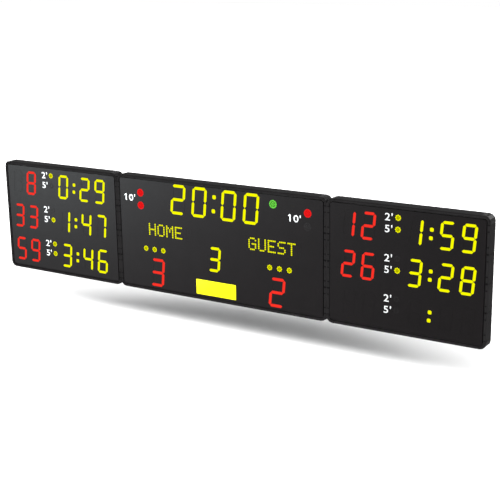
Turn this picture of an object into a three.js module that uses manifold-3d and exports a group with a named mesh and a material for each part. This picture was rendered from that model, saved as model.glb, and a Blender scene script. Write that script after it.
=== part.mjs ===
// Electronic scoreboard: three flat cabinets side by side on two wall rails.
// Each cabinet is a frame of corner pieces, rails and moulded side columns, closed at the back by a
// sheet and at the front by a door that is hinged along its top edge and carries the displays.
// Millimetres, +Z up, +X to the right, the front faces -Y, the wall is the plane y = 0.
// Inside a cabinet, x and z are measured from its centre and y is the depth behind the rib crest.

import * as THREE from "three";
import { mergeVertices } from "three/addons/utils/BufferGeometryUtils.js";
import Module from "manifold-3d";

const wasm = await Module();
wasm.setup();

// Cabinets
const modulesPerColumn = 4;
const moduleHeight = 250;
const cornerLeg = 75;
const cornerRadius = 57;
const cornerFacets = 3;
const sideCabinetWidth = 1508;
const centreCabinetWidth = 2356;
const cabinetDepth = 115;
const seatGap = 0.3;

// Frame section, measured inwards from the outer edge and back from the rib crest
const borderWidth = 34;
const wallThickness = 3;
const ribOffset = 8;
const ribWidth = 17;
const ribChamfer = 3;
const ribRise = 4;
const plateThickness = 4;
const grooveWidth = 8;
const grooveFloor = 14;
const ledgeThickness = 3;
const webThickness = 4;
const rearFlangeWidth = 25;
const rearFlangeThickness = 3;
const rearRimHeight = 4;

// Side column modules
const ribNotchInset = 59;
const ribNotchWidth = 10;
const ribJointGap = 16;
const jointGrooveWidth = 5;
const jointGrooveDepth = 1.5;

// Front door
const doorGap = 2.5;
const faceDepth = 5;
const sheetThickness = 3;
const doorFlangeThickness = 2;
const doorDepth = 29;

// Door hinges
const doorKnuckleLength = 46;
const fixedKnuckleLength = 24;
const hingeEndInset = 190;
const sideHingeCount = 2;
const centreHingeCount = 3;
const hingeSideClearance = 0.4;
const hingeFloorClearance = 1.4;
const hingeRodRadius = 2;
const hingeRodClearance = 0.5;
const hingeRodOverhang = 60;
const hingeLeafThickness = 3;
const hingeEndClearance = 0.5;

// Quarter-turn latches
const latchSpreadShare = 0.42;
const latchShaftRadius = 4;
const latchShaftClearance = 0.45;
const latchHeadRadius = 9;
const latchHeadThickness = 3;
const latchSlotWidth = 2.5;
const latchSlotDepth = 1.2;
const latchSetback = 9;
const latchCamLength = 14;
const latchCamThickness = 4;
const latchCamRise = 4.5;
const latchNotchClearance = 2;
const keeperWidth = 20;
const keeperClearance = 1;
const keeperThickness = 3;
const keeperHeight = 13;

// Display modules
const windowMargin = 3;
const windowGap = 0.4;
const boardMargin = 2;
const boardThickness = 7;
const barProud = 1;
const slantDegrees = 5.2;
const penaltyDigit = { width: 130, height: 250, stroke: 25, gap: 5 };
const clockDigit = { width: 165, height: 294, stroke: 28, gap: 4 };
const scoreDigit = { width: 163, height: 285, stroke: 28, gap: 4 };
const periodDigit = { width: 134, height: 245, stroke: 27, gap: 4 };
const smallLampRadius = 26.5;
const largeLampRadius = 41.5;
const lampSides = 8;
const smallColonSize = 34;
const smallColonReach = 37;
const largeColonSize = 39;
const largeColonReach = 68;

// Penalty rows, as shares of the side door's width and height
const rowCount = 3;
const rowPitchShare = 0.3366;
const rowShiftShare = 0.0018;
const leftMinuteShare = 0.03;
const rightMinuteShare = 0.0662;
const minuteToNumberShare = 0.3073;
const digitPitchShare = 0.1352;
const minuteToTenSecondsShare = 0.1979;
const minuteToColonShare = 0.1003;
const minuteToLampShare = 0.1129;
const upperLampShare = 0.416;

// Centre layout, as shares of the centre door's width
const clockDigitShares = [-0.1923, -0.0845, 0.0613, 0.1695];
const clockColonShare = -0.011;
const greenLampShare = 0.2733;
const homeLampShare = -0.3907;
const guestLampShare = 0.4314;
const periodShare = -0.014;
const homeScoreShare = -0.3127;
const guestScoreShare = 0.2887;
const homeTimeoutShare = -0.325;
const guestTimeoutShare = 0.3009;
const timeoutPitchShare = 0.046;
const homeNameShare = -0.2637;
const guestNameShare = 0.2659;
const plateShare = -0.0096;

// Centre layout, as shares of the door's height, and of the clock digits' height beside the clock
const clockTopClearance = 5;
const greenLampRiseShare = 0.239;
const upperTenLampRiseShare = 0.082;
const lowerTenLampRiseShare = -0.35;
const periodRiseShare = -0.1439;
const scoreRiseShare = -0.3519;
const timeoutRiseShare = -0.1365;
const nameRiseShare = 0.0511;
const plateRiseShare = -0.416;
const timeoutCount = 3;
const nameColumns = 35;
const nameRows = 7;
const namePitch = 17.5;
const plateWidth = 455;
const plateHeight = 148;
const plateSheet = 2;

// Rear panel
const rearSheetThickness = 2;
const rearSwageShares = [-0.3, 0, 0.3];
const rearSwageWidth = 24;
const rearSwageRise = 5;
const rearSwageInset = 60;
const ventCount = 6;
const ventLength = 90;
const ventWidth = 5;
const ventPitch = 130;
const ventInset = 70;

// Wall rails
const wallRailDepth = 18;
const wallRailHeight = 60;
const wallRailThickness = 3;
const wallRailEndInset = 120;
const wallRailInset = 220;
const wallHoleRadius = 4.5;
const wallHoleSides = 8;
const wallHoleShares = [-0.45, -0.15, 0.15, 0.45];

// Equipment on the rear panels
const caseEarWidth = 14;
const caseEarThickness = 3;
const caseEarShare = 0.5;
const supplyWidth = 215;
const supplyHeight = 115;
const supplyDepth = 48;
const sideSupplyShare = -0.167;
const centreSupplyShare = 0.158;
const equipmentRiseShare = -0.176;
const controllerWidth = 260;
const controllerHeight = 160;
const controllerDepth = 34;
const controllerShare = -0.184;
const hornRadius = 62;
const hornThroatRadius = 30;
const hornThroatDepth = 33;
const hornDepth = 66;
const hornWall = 4;
const hornSides = 16;
const hornShare = 0.333;

// Mains entry under the centre cabinet
const entrySetback = 84;
const glandShare = 0.184;
const glandBoreRadius = 6;
const glandBodyRadius = 11;
const glandNutRadius = 14;
const glandNutThickness = 5;
const glandNeckRadius = 9;
const glandReachBelow = 16;
const glandReachAbove = 12;
const glandClearance = 0.4;
const glandSides = 12;
const switchShare = 0.149;
const switchLength = 30;
const switchWidth = 22;
const switchHeight = 20;
const switchFlangeWidth = 3;
const switchFlangeThickness = 2;
const switchWall = 3;
const switchPocketDepth = 8;
const switchFit = 0.4;
const rockerThickness = 5;
const rockerPeak = 1.2;
const rockerTiltDegrees = 8;
const rockerEndClearance = 1;
const rockerAxleRadius = 1.5;
const rockerAxleReach = 1.5;
const rockerAxleSides = 8;

// A cut or a joined piece runs past the surface it meets by this much
const overrun = 1;

const cabinetHeight = modulesPerColumn * moduleHeight + 2 * cornerLeg;
const totalWidth = 2 * sideCabinetWidth + centreCabinetWidth + 2 * seatGap;
const cabinetPitch = (centreCabinetWidth + sideCabinetWidth) / 2 + seatGap;
const frontY = -(cabinetDepth + seatGap + wallRailDepth);
const railZ = cabinetHeight / 2 - wallRailInset;
const slant = Math.tan(THREE.MathUtils.degToRad(slantDegrees));

// Depths shared by several pieces
const rearFlangeY = cabinetDepth - rearRimHeight - rearFlangeThickness;
const rearSheetY = cabinetDepth - rearRimHeight + seatGap;
const equipmentY = rearSheetY - seatGap;
const boardY = faceDepth + sheetThickness + seatGap;
const doorInset = borderWidth + doorGap;
const sideDoorWidth = sideCabinetWidth - 2 * doorInset;
const centreDoorWidth = centreCabinetWidth - 2 * doorInset;
const doorHeight = cabinetHeight - 2 * doorInset;
const equipmentZ = equipmentRiseShare * doorHeight;
const glandX = glandShare * centreDoorWidth;
const switchX = switchShare * centreDoorWidth;
const knuckleRadius = grooveWidth / 2 - hingeSideClearance;
const hingeInset = borderWidth - grooveWidth / 2;
const hingeY = grooveFloor - hingeFloorClearance - knuckleRadius;
const latchY = grooveFloor + ledgeThickness + latchSetback;
const keeperY = latchY + latchShaftRadius + keeperClearance;

// Materials
const finish = (color, roughness, metalness) =>
  new THREE.MeshStandardMaterial({ color, roughness, metalness });
const mouldedGrey = () => finish(0x37383a, 0.55, 0);
const paintedRail = () => finish(0x343537, 0.45, 0.2);
const faceFilm = () => finish(0x2b2a2c, 0.4, 0);
const filterBlack = () => finish(0x232225, 0.35, 0);
const zincSheet = () => finish(0x8d9092, 0.45, 0.8);
const steel = () => finish(0xa5a7a9, 0.35, 0.9);
const signalYellow = () => finish(0xf6ea14, 0.5, 0);
const circuitCase = () => finish(0xb9bbbd, 0.4, 0.7);
const blackPlastic = () => finish(0x151516, 0.5, 0);

// Solids

// A closed three.js geometry as a manifold solid.
function solid(geometry) {
  const bare = geometry.clone();
  bare.deleteAttribute("normal");
  bare.deleteAttribute("uv");
  const merged = mergeVertices(bare);
  return new wasm.Manifold(
    new wasm.Mesh({
      numProp: 3,
      vertProperties: new Float32Array(merged.attributes.position.array),
      triVerts: new Uint32Array(merged.index.array),
    }),
  );
}

// A manifold solid as a three.js geometry.
function geometryOf(made) {
  const mesh = made.asOriginal().simplify().getMesh();
  const geometry = new THREE.BufferGeometry();
  const positions = new Float32Array(mesh.vertProperties);
  geometry.setAttribute("position", new THREE.BufferAttribute(positions, 3));
  geometry.setIndex(new THREE.BufferAttribute(new Uint32Array(mesh.triVerts), 1));
  geometry.computeVertexNormals();
  return geometry;
}

const join = (solids) => solids.reduce((sum, next) => sum.add(next));
const cut = (body, cutters) => cutters.reduce((left, cutter) => left.subtract(cutter), body);

// The outline's two axes and the way it is drawn out, for a prism along each axis.
const prismFrames = {
  x: [new THREE.Vector3(0, 1, 0), new THREE.Vector3(0, 0, 1), new THREE.Vector3(1, 0, 0)],
  y: [new THREE.Vector3(1, 0, 0), new THREE.Vector3(0, 0, 1), new THREE.Vector3(0, -1, 0)],
  z: [new THREE.Vector3(1, 0, 0), new THREE.Vector3(0, 1, 0), new THREE.Vector3(0, 0, 1)],
};

// A prism on a closed outline: along x the points are (y, z), along y (x, z), along z (x, y).
function prism(axis, points, low, high) {
  const shape = new THREE.Shape(points.map(([a, b]) => new THREE.Vector2(a, b)));
  const geometry = new THREE.ExtrudeGeometry(shape, { depth: high - low, bevelEnabled: false });
  geometry.applyMatrix4(new THREE.Matrix4().makeBasis(...prismFrames[axis]));
  const start = { x: [low, 0, 0], y: [0, high, 0], z: [0, 0, low] }[axis];
  return solid(geometry.translate(...start));
}

// A box between two corners.
function block([x0, y0, z0], [x1, y1, z1]) {
  const geometry = new THREE.BoxGeometry(x1 - x0, y1 - y0, z1 - z0);
  return solid(geometry.translate((x0 + x1) / 2, (y0 + y1) / 2, (z0 + z1) / 2));
}

// A regular polygon's points, flat side up and down.
function ring(x, y, radius, sides) {
  return Array.from({ length: sides }, (_, i) => {
    const angle = ((i + 0.5) * 2 * Math.PI) / sides;
    return [x + radius * Math.cos(angle), y + radius * Math.sin(angle)];
  });
}

// A turned solid about the z axis, from (radius, z) points.
function turned(points, sides) {
  const profile = points.map(([radius, z]) => new THREE.Vector2(radius, z));
  const geometry = new THREE.LatheGeometry(profile, sides);
  return solid(geometry.rotateX(Math.PI / 2));
}

function piece(name, made, material) {
  const mesh = new THREE.Mesh(geometryOf(made), material);
  mesh.name = name;
  return mesh;
}

// Frame

// The frame section as (depth, height) points with its outer edge at height 0, with or without the rib.
function frameSection(withRib) {
  const rib = [
    [ribRise, -ribOffset],
    [0, -(ribOffset + ribChamfer)],
    [0, -(ribOffset + ribWidth - ribChamfer)],
    [ribRise, -(ribOffset + ribWidth)],
  ];
  const grooveStart = borderWidth - grooveWidth;
  const plateBack = ribRise + plateThickness;
  const ledgeBack = grooveFloor + ledgeThickness;
  const rearFlangeBack = rearFlangeY + rearFlangeThickness;
  return [
    [ribRise, 0],
    ...(withRib ? rib : []),
    [ribRise, -grooveStart],
    [grooveFloor, -grooveStart],
    [grooveFloor, -borderWidth],
    [ledgeBack, -borderWidth],
    [ledgeBack, webThickness - grooveStart],
    [plateBack, webThickness - grooveStart],
    [plateBack, -wallThickness],
    [rearFlangeY, -wallThickness],
    [rearFlangeY, -rearFlangeWidth],
    [rearFlangeBack, -rearFlangeWidth],
    [rearFlangeBack, -wallThickness],
    [cabinetDepth, -wallThickness],
    [cabinetDepth, 0],
  ];
}

const railLength = (cabinetWidth) => cabinetWidth - 2 * cornerLeg - 2 * seatGap;

// A rail with a joint groove at each end.
function plainRail(cabinetWidth) {
  const half = railLength(cabinetWidth) / 2;
  const grooves = [jointGroove(-half, jointGrooveWidth - half), jointGroove(half - jointGrooveWidth, half)];
  return cut(prism("x", frameSection(true), -half, half), grooves);
}

// The middle of each hinge along a door.
function hingePlaces(cabinetWidth) {
  const count = cabinetWidth === centreCabinetWidth ? centreHingeCount : sideHingeCount;
  const first = -(railLength(cabinetWidth) / 2 - hingeEndInset);
  const step = (-2 * first) / (count - 1);
  return Array.from({ length: count }, (_, i) => first + i * step);
}

// A barrel about the hinge line with its bore, between two x values; heights are from the outer edge.
function knuckle(low, high, extra) {
  const outline = ring(hingeY, -hingeInset, knuckleRadius, 8);
  const bore = ring(hingeY, -hingeInset, hingeRodRadius + hingeRodClearance, 8);
  const barrel = prism("x", outline, low, high).add(extra);
  return barrel.subtract(prism("x", bore, low - overrun, high + overrun));
}

// The top rail has two fixed knuckles for each hinge, one on each side of the door's own.
function topRail(cabinetWidth) {
  const wall = -(borderWidth - grooveWidth - webThickness / 2);
  const inner = doorKnuckleLength / 2 + hingeEndClearance;
  const outer = inner + fixedKnuckleLength;
  const knuckles = hingePlaces(cabinetWidth).flatMap((x) =>
    [
      [x - outer, x - inner],
      [x + inner, x + outer],
    ].map(([low, high]) => {
      const foot = block(
        [low, hingeY - hingeLeafThickness / 2, -hingeInset],
        [high, hingeY + hingeLeafThickness / 2, wall],
      );
      return knuckle(low, high, foot);
    }),
  );
  return join([plainRail(cabinetWidth), ...knuckles]);
}

// The bottom rail in its turned place: bores for the two latches, seen from its own outer edge.
function bottomRail(cabinetWidth, extraCuts) {
  const bores = latchPlaces(cabinetWidth).map((x) => {
    const outline = ring(-x, latchY, latchShaftRadius + latchShaftClearance, 12);
    return prism("z", outline, -(wallThickness + overrun), overrun);
  });
  return cut(plainRail(cabinetWidth), [...bores, ...extraCuts]);
}

// A side column: four modules in one moulding, with a groove at each joint and a broken rib.
function column() {
  const half = (modulesPerColumn * moduleHeight) / 2 - seatGap;
  const base = prism("x", frameSection(false), -half, half);
  const ribFoot = ribRise + overrun;
  const ribOutline = [
    [ribFoot, -ribOffset],
    [ribRise, -ribOffset],
    [0, -(ribOffset + ribChamfer)],
    [0, -(ribOffset + ribWidth - ribChamfer)],
    [ribRise, -(ribOffset + ribWidth)],
    [ribFoot, -(ribOffset + ribWidth)],
  ];
  const edge = jointGrooveWidth / 2;
  const ribEnd = ribJointGap / 2;
  const notchHalf = ribNotchWidth / 2;
  const ribs = [];
  const grooves = [jointGroove(-half, jointGrooveWidth - half), jointGroove(half - jointGrooveWidth, half)];
  for (let i = 0; i < modulesPerColumn; i++) {
    const start = (i - modulesPerColumn / 2) * moduleHeight;
    const end = start + moduleHeight;
    const notches = [start + ribNotchInset, end - ribNotchInset];
    const runs = [
      [start + ribEnd, notches[0] - notchHalf],
      [notches[0] + notchHalf, notches[1] - notchHalf],
      [notches[1] + notchHalf, end - ribEnd],
    ];
    runs.forEach(([low, high]) => ribs.push(prism("x", ribOutline, low, high)));
    if (i > 0) grooves.push(jointGroove(start - edge, start + edge));
  }
  return cut(join([base, ...ribs]), grooves);
}

// The cutter of one joint groove: across the outer wall and the front plate with its rib.
function jointGroove(low, high) {
  const side = [
    [-overrun, overrun],
    [cabinetDepth + overrun, overrun],
    [cabinetDepth + overrun, -jointGrooveDepth],
    [ribRise + jointGrooveDepth, -jointGrooveDepth],
    [ribRise + jointGrooveDepth, -(ribOffset + ribWidth)],
    [-overrun, -(ribOffset + ribWidth)],
  ];
  return prism("x", side, low, high);
}

// The band between two insets round a top right corner, whose outer corner is the origin.
function cornerBand(outerInset, innerInset, low, high) {
  const bend = (inset) => {
    const radius = cornerRadius - inset;
    return Array.from({ length: cornerFacets + 1 }, (_, i) => {
      const angle = (Math.PI / 2) * (1 - i / cornerFacets);
      return [radius * Math.cos(angle) - cornerRadius, radius * Math.sin(angle) - cornerRadius];
    });
  };
  const outer = [[-cornerLeg, -outerInset], ...bend(outerInset), [-outerInset, -cornerLeg]];
  const inner = [[-cornerLeg, -innerInset], ...bend(innerInset), [-innerInset, -cornerLeg]];
  return prism("y", [...outer, ...inner.reverse()], low, high);
}

// A corner piece: the frame section taken round the bend in layers.
function cornerPiece() {
  const grooveStart = borderWidth - grooveWidth;
  const plateBack = ribRise + plateThickness;
  const ledgeBack = grooveFloor + ledgeThickness;
  const ribMiddle = ribOffset + ribWidth / 2;
  const ribCrestHalf = ribWidth / 2 - ribChamfer;
  const layers = [
    cornerBand(0, wallThickness, ribRise, cabinetDepth),
    cornerBand(0, grooveStart, ribRise, plateBack),
    cornerBand(grooveStart - webThickness, grooveStart, ribRise + overrun, ledgeBack),
    cornerBand(grooveStart - webThickness, borderWidth, grooveFloor, ledgeBack),
    cornerBand(0, rearFlangeWidth, rearFlangeY, rearFlangeY + rearFlangeThickness),
    cornerBand(ribMiddle - ribCrestHalf, ribMiddle + ribCrestHalf, 0, ribRise + overrun),
  ];
  return join(layers);
}

// The rear sheet, held inside the rim against the rear flange, with pressed swages and vents.
function rearPanel(cabinetWidth) {
  const halfWidth = cabinetWidth / 2 - wallThickness - seatGap;
  const halfHeight = cabinetHeight / 2 - wallThickness - seatGap;
  const backY = rearSheetY + rearSheetThickness;
  const outline = roundedOutline(halfWidth, halfHeight, wallThickness + seatGap);
  const sheet = prism("y", outline, rearSheetY, backY);
  const swageHalf = cabinetWidth / 2 - rearFlangeWidth - rearSwageInset;
  const swages = rearSwageShares.map((share) => {
    const z = share * cabinetHeight;
    return block(
      [-swageHalf, rearSheetY - rearSwageRise, z - rearSwageWidth / 2],
      [swageHalf, rearSheetY + overrun, z + rearSwageWidth / 2],
    );
  });
  const ventZ = halfHeight - ventInset;
  const vents = Array.from({ length: ventCount }, (_, i) => {
    const x = (i - (ventCount - 1) / 2) * ventPitch;
    return block(
      [x - ventLength / 2, rearSheetY - overrun, ventZ - ventWidth / 2],
      [x + ventLength / 2, backY + overrun, ventZ + ventWidth / 2],
    );
  });
  return cut(join([sheet, ...swages]), vents);
}

// A rectangle with the corner pieces' faceted bend, drawn in by an inset.
function roundedOutline(halfWidth, halfHeight, inset) {
  const radius = cornerRadius - inset;
  const points = [];
  for (const [sx, sz, turn] of [
    [1, 1, 0],
    [-1, 1, 1],
    [-1, -1, 2],
    [1, -1, 3],
  ]) {
    for (let i = 0; i <= cornerFacets; i++) {
      const angle = (Math.PI / 2) * (turn + i / cornerFacets);
      points.push([
        sx * (halfWidth - radius) + radius * Math.cos(angle),
        sz * (halfHeight - radius) + radius * Math.sin(angle),
      ]);
    }
  }
  return points;
}

// Door

const doorHalfWidth = (cabinetWidth) => cabinetWidth / 2 - doorInset;
const doorTop = doorHeight / 2;
const latchPlaces = (cabinetWidth) => [-latchSpreadShare * cabinetWidth, latchSpreadShare * cabinetWidth];

// The door: a face sheet with a flange all round, windows, its hinge knuckles and two keepers.
function frontDoor(cabinetWidth, windows) {
  const halfWidth = doorHalfWidth(cabinetWidth);
  const innerWidth = halfWidth - doorFlangeThickness;
  const innerHeight = doorTop - doorFlangeThickness;
  const sheetBack = faceDepth + sheetThickness;
  const backY = faceDepth + doorDepth;
  const tray = prism("y", roundedOutline(halfWidth, doorTop, doorInset), faceDepth, backY);
  const hollowInset = doorInset + doorFlangeThickness;
  const hollowOutline = roundedOutline(innerWidth, innerHeight, hollowInset);
  const hollow = prism("y", hollowOutline, sheetBack, backY + overrun);
  const openings = windows.map(({ x0, x1, z0, z1 }) =>
    block([x0, faceDepth - overrun, z0], [x1, sheetBack + overrun, z1]),
  );
  const body = cut(tray, [hollow, ...openings]);
  const hinges = hingePlaces(cabinetWidth).map((x) => doorKnuckle(x));
  const notches = latchPlaces(cabinetWidth).map((x) => latchNotch(x));
  const keepers = latchPlaces(cabinetWidth).map((x) => keeper(x));
  return join([cut(body, notches), ...hinges, ...keepers]);
}

// A door knuckle with its leaf, which ends in the door's top flange.
function doorKnuckle(x) {
  const low = x - doorKnuckleLength / 2;
  const high = x + doorKnuckleLength / 2;
  const sheetBack = faceDepth + sheetThickness;
  const leaf = block(
    [low, sheetBack, -(doorInset + doorFlangeThickness)],
    [high, sheetBack + hingeLeafThickness, -hingeInset],
  );
  return knuckle(low, high, leaf).translate([0, 0, cabinetHeight / 2]);
}

// The way out for a latch shaft through the door's bottom flange.
function latchNotch(x) {
  const half = latchShaftRadius + latchNotchClearance;
  return block(
    [x - half, latchY - half, -(doorTop + overrun)],
    [x + half, faceDepth + doorDepth + overrun, doorFlangeThickness + overrun - doorTop],
  );
}

// The upright tab that the latch cam turns in front of.
function keeper(x) {
  const start = x + latchShaftRadius + latchNotchClearance;
  return block(
    [start, keeperY, -doorTop],
    [start + keeperWidth, keeperY + keeperThickness, keeperHeight - doorTop],
  );
}

// The rod through every knuckle of one door.
function hingeRod(cabinetWidth) {
  const half = railLength(cabinetWidth) / 2 - hingeEndInset + doorKnuckleLength + hingeRodOverhang;
  const outline = ring(hingeY, cabinetHeight / 2 - hingeInset, hingeRodRadius, 8);
  return prism("x", outline, -half, half);
}

// A latch seen from the bottom rail's outer face: slotted head, shaft and cam, pointing to the front.
function latch() {
  const camLow = doorInset + doorFlangeThickness + latchCamRise;
  const camHigh = camLow + latchCamThickness;
  const headLow = -(seatGap + latchHeadThickness);
  const body = turned(
    [
      [0, headLow],
      [latchHeadRadius, headLow],
      [latchHeadRadius, -seatGap],
      [latchShaftRadius, -seatGap],
      [latchShaftRadius, camHigh],
      [0, camHigh],
    ],
    12,
  );
  const cam = block([-latchShaftRadius, -latchCamLength, camLow], [latchShaftRadius, 0, camHigh]);
  const slot = block(
    [-latchSlotWidth / 2, -(latchHeadRadius + overrun), headLow - overrun],
    [latchSlotWidth / 2, latchHeadRadius + overrun, headLow + latchSlotDepth],
  );
  return body.add(cam).subtract(slot);
}

// Displays

// A bar with pointed ends between two points of a digit, along x or along z.
function bar(from, to, fixed, stroke, gap, upright) {
  const low = from + gap / 2;
  const high = to - gap / 2;
  const half = stroke / 2;
  const points = [
    [low, fixed],
    [low + half, fixed - half],
    [high - half, fixed - half],
    [high, fixed],
    [high - half, fixed + half],
    [low + half, fixed + half],
  ];
  return upright ? points.map(([a, b]) => [b, a]).reverse() : points;
}

// The seven bars of one leaning digit, as outlines in x and z.
function digitBars({ x, z, size }) {
  const { width, height, stroke, gap } = size;
  const across = (width - stroke) / 2;
  const up = (height - stroke) / 2;
  const flat = [up, 0, -up].map((level) => bar(-across, across, level, stroke, gap, false));
  const upright = [-across, across].flatMap((side) => [
    bar(0, up, side, stroke, gap, true),
    bar(-up, 0, side, stroke, gap, true),
  ]);
  return [...flat, ...upright].map((points) => points.map(([a, b]) => [x + a + b * slant, z + b]));
}

// The two squares of a colon.
function colonDots({ x, z, size, reach }) {
  return [reach, -reach].map((rise) => {
    const [cx, cz] = [x + rise * slant, z + rise];
    const half = size / 2;
    return [
      [cx - half, cz - half],
      [cx + half, cz - half],
      [cx + half, cz + half],
      [cx - half, cz + half],
    ];
  });
}

const lampDisc = ({ x, z, radius }) => ring(x, z, radius, lampSides);

// The rectangle that a window needs round all that it shows.
function windowAround(outlines) {
  const xs = outlines.flat().map(([x]) => x);
  const zs = outlines.flat().map(([, z]) => z);
  return {
    x0: Math.min(...xs) - windowMargin,
    x1: Math.max(...xs) + windowMargin,
    z0: Math.min(...zs) - windowMargin,
    z1: Math.max(...zs) + windowMargin,
  };
}

// A display module: a board behind the face, a filter block in each window and proud light bars.
function displayModule(groups) {
  const windows = groups.map((outlines) => windowAround(outlines));
  const least = (key) => Math.min(...windows.map((w) => w[key])) - boardMargin;
  const most = (key) => Math.max(...windows.map((w) => w[key])) + boardMargin;
  const boardBack = boardY + boardThickness;
  const board = block([least("x0"), boardY, least("z0")], [most("x1"), boardBack, most("z1")]);
  const filters = windows.map(({ x0, x1, z0, z1 }) =>
    block([x0 + windowGap, faceDepth, z0 + windowGap], [x1 - windowGap, boardY + overrun, z1 - windowGap]),
  );
  const front = faceDepth - barProud;
  const bars = groups.flat().map((outline) => prism("y", outline, front, faceDepth + overrun));
  return { windows, made: join([board, ...filters, ...bars]) };
}

const rowHeights = Array.from(
  { length: rowCount },
  (_, i) => (rowShiftShare + ((rowCount - 1) / 2 - i) * rowPitchShare) * doorHeight,
);

function penaltyNumbers(minuteShare) {
  const units = minuteShare - minuteToNumberShare;
  return displayModule(
    rowHeights.map((z) =>
      [units - digitPitchShare, units].flatMap((share) =>
        digitBars({ x: share * sideDoorWidth, z, size: penaltyDigit }),
      ),
    ),
  );
}

function penaltyTimes(minuteShare) {
  const tenSeconds = minuteShare + minuteToTenSecondsShare;
  const colonX = (minuteShare + minuteToColonShare) * sideDoorWidth;
  const lampX = (minuteShare - minuteToLampShare) * sideDoorWidth;
  const upperLampRise = upperLampShare * penaltyDigit.height;
  return displayModule(
    rowHeights.map((z) => [
      ...[minuteShare, tenSeconds, tenSeconds + digitPitchShare].flatMap((share) =>
        digitBars({ x: share * sideDoorWidth, z, size: penaltyDigit }),
      ),
      ...colonDots({ x: colonX, z, size: smallColonSize, reach: smallColonReach }),
      ...[upperLampRise, 0].map((rise) => lampDisc({ x: lampX, z: z + rise, radius: smallLampRadius })),
    ]),
  );
}

function clockStrip() {
  const z = doorTop - doorFlangeThickness - clockTopClearance - clockDigit.height / 2;
  const digits = clockDigitShares.flatMap((share) =>
    digitBars({ x: share * centreDoorWidth, z, size: clockDigit }),
  );
  const colonX = clockColonShare * centreDoorWidth;
  const colon = colonDots({ x: colonX, z, size: largeColonSize, reach: largeColonReach });
  const lamp = (share, riseShare) =>
    lampDisc({ x: share * centreDoorWidth, z: z + riseShare * clockDigit.height, radius: largeLampRadius });
  const tenLamps = (share) => [lamp(share, upperTenLampRiseShare), lamp(share, lowerTenLampRiseShare)];
  return displayModule([
    [...digits, ...colon],
    [lamp(greenLampShare, greenLampRiseShare)],
    tenLamps(homeLampShare),
    tenLamps(guestLampShare),
  ]);
}

function teamScore(scoreShare, timeoutShare) {
  const lamps = Array.from({ length: timeoutCount }, (_, i) =>
    lampDisc({
      x: (timeoutShare + (i - (timeoutCount - 1) / 2) * timeoutPitchShare) * centreDoorWidth,
      z: timeoutRiseShare * doorHeight,
      radius: smallLampRadius,
    }),
  );
  const digit = { x: scoreShare * centreDoorWidth, z: scoreRiseShare * doorHeight, size: scoreDigit };
  return displayModule([[...lamps, ...digitBars(digit)]]);
}

// A name display: the plain field of its dot matrix.
function teamName(nameShare) {
  const nameX = nameShare * centreDoorWidth;
  const nameZ = nameRiseShare * doorHeight;
  const halfWidth = (nameColumns * namePitch) / 2;
  const halfHeight = (nameRows * namePitch) / 2;
  const field = [
    [nameX - halfWidth, nameZ - halfHeight],
    [nameX + halfWidth, nameZ - halfHeight],
    [nameX + halfWidth, nameZ + halfHeight],
    [nameX - halfWidth, nameZ + halfHeight],
  ];
  return displayModule([[field]]);
}

function periodNumber() {
  const digit = { x: periodShare * centreDoorWidth, z: periodRiseShare * doorHeight, size: periodDigit };
  return displayModule([digitBars(digit)]);
}

function namePlate() {
  const back = faceDepth - seatGap;
  const [x, z] = [plateShare * centreDoorWidth, plateRiseShare * doorHeight];
  return block(
    [x - plateWidth / 2, back - plateSheet, z - plateHeight / 2],
    [x + plateWidth / 2, back, z + plateHeight / 2],
  );
}

// Equipment

// A case on the rear panel with a fixing ear at each end.
function earedCase(x, width, height, depth) {
  const z = equipmentZ;
  const body = block(
    [x - width / 2, equipmentY - depth, z - height / 2],
    [x + width / 2, equipmentY, z + height / 2],
  );
  const ears = block(
    [x - width / 2 - caseEarWidth, equipmentY - caseEarThickness, z - (caseEarShare * height) / 2],
    [x + width / 2 + caseEarWidth, equipmentY, z + (caseEarShare * height) / 2],
  );
  return body.add(ears);
}

// The horn: a flared cone with a round foot on the rear panel and its mouth to the front.
function horn() {
  const mouth = turned(
    [
      [0, 0],
      [hornRadius, 0],
      [hornRadius, hornWall],
      [hornThroatRadius, hornWall],
      [hornThroatRadius, hornThroatDepth],
      [hornRadius, hornDepth],
      [hornRadius - hornWall, hornDepth],
      [hornThroatRadius - hornWall, hornThroatDepth],
      [0, hornThroatDepth],
    ],
    hornSides,
  );
  return mouth.rotate([90, 0, 0]).translate([hornShare * centreDoorWidth, equipmentY, equipmentZ]);
}

// The gland under the bottom rail, seen from the rail's outer face, with a bore for the mains lead.
function cableGland() {
  return turned(
    [
      [glandBoreRadius, -glandReachBelow],
      [glandBodyRadius, -glandReachBelow],
      [glandBodyRadius, -(seatGap + glandNutThickness)],
      [glandNutRadius, -(seatGap + glandNutThickness)],
      [glandNutRadius, -seatGap],
      [glandNeckRadius, -seatGap],
      [glandNeckRadius, glandReachAbove],
      [glandBoreRadius, glandReachAbove],
      [glandBoreRadius, -glandReachBelow],
    ],
    glandSides,
  );
}

// The switch housing, seen from the rail's outer face: a flanged body with a pocket that opens down.
function switchHousing() {
  const [halfX, halfY] = [switchLength / 2, switchWidth / 2];
  const flangeLow = -(seatGap + switchFlangeThickness);
  const body = block([-halfX, -halfY, -seatGap - overrun], [halfX, halfY, switchHeight]);
  const flange = block(
    [-(halfX + switchFlangeWidth), -(halfY + switchFlangeWidth), flangeLow],
    [halfX + switchFlangeWidth, halfY + switchFlangeWidth, -seatGap],
  );
  const pocket = block(
    [switchWall - halfX, switchWall - halfY, flangeLow - overrun],
    [halfX - switchWall, halfY - switchWall, flangeLow + switchPocketDepth],
  );
  const axleBore = ring(0, rockerAxleZ, rockerAxleRadius + switchFit, rockerAxleSides);
  const axleHalf = halfY - switchWall + rockerAxleReach;
  return body
    .add(flange)
    .subtract(pocket)
    .subtract(prism("y", axleBore, -axleHalf - switchFit, axleHalf + switchFit));
}

const rockerAxleZ = rockerThickness / 2 - seatGap - switchFlangeThickness;

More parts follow.
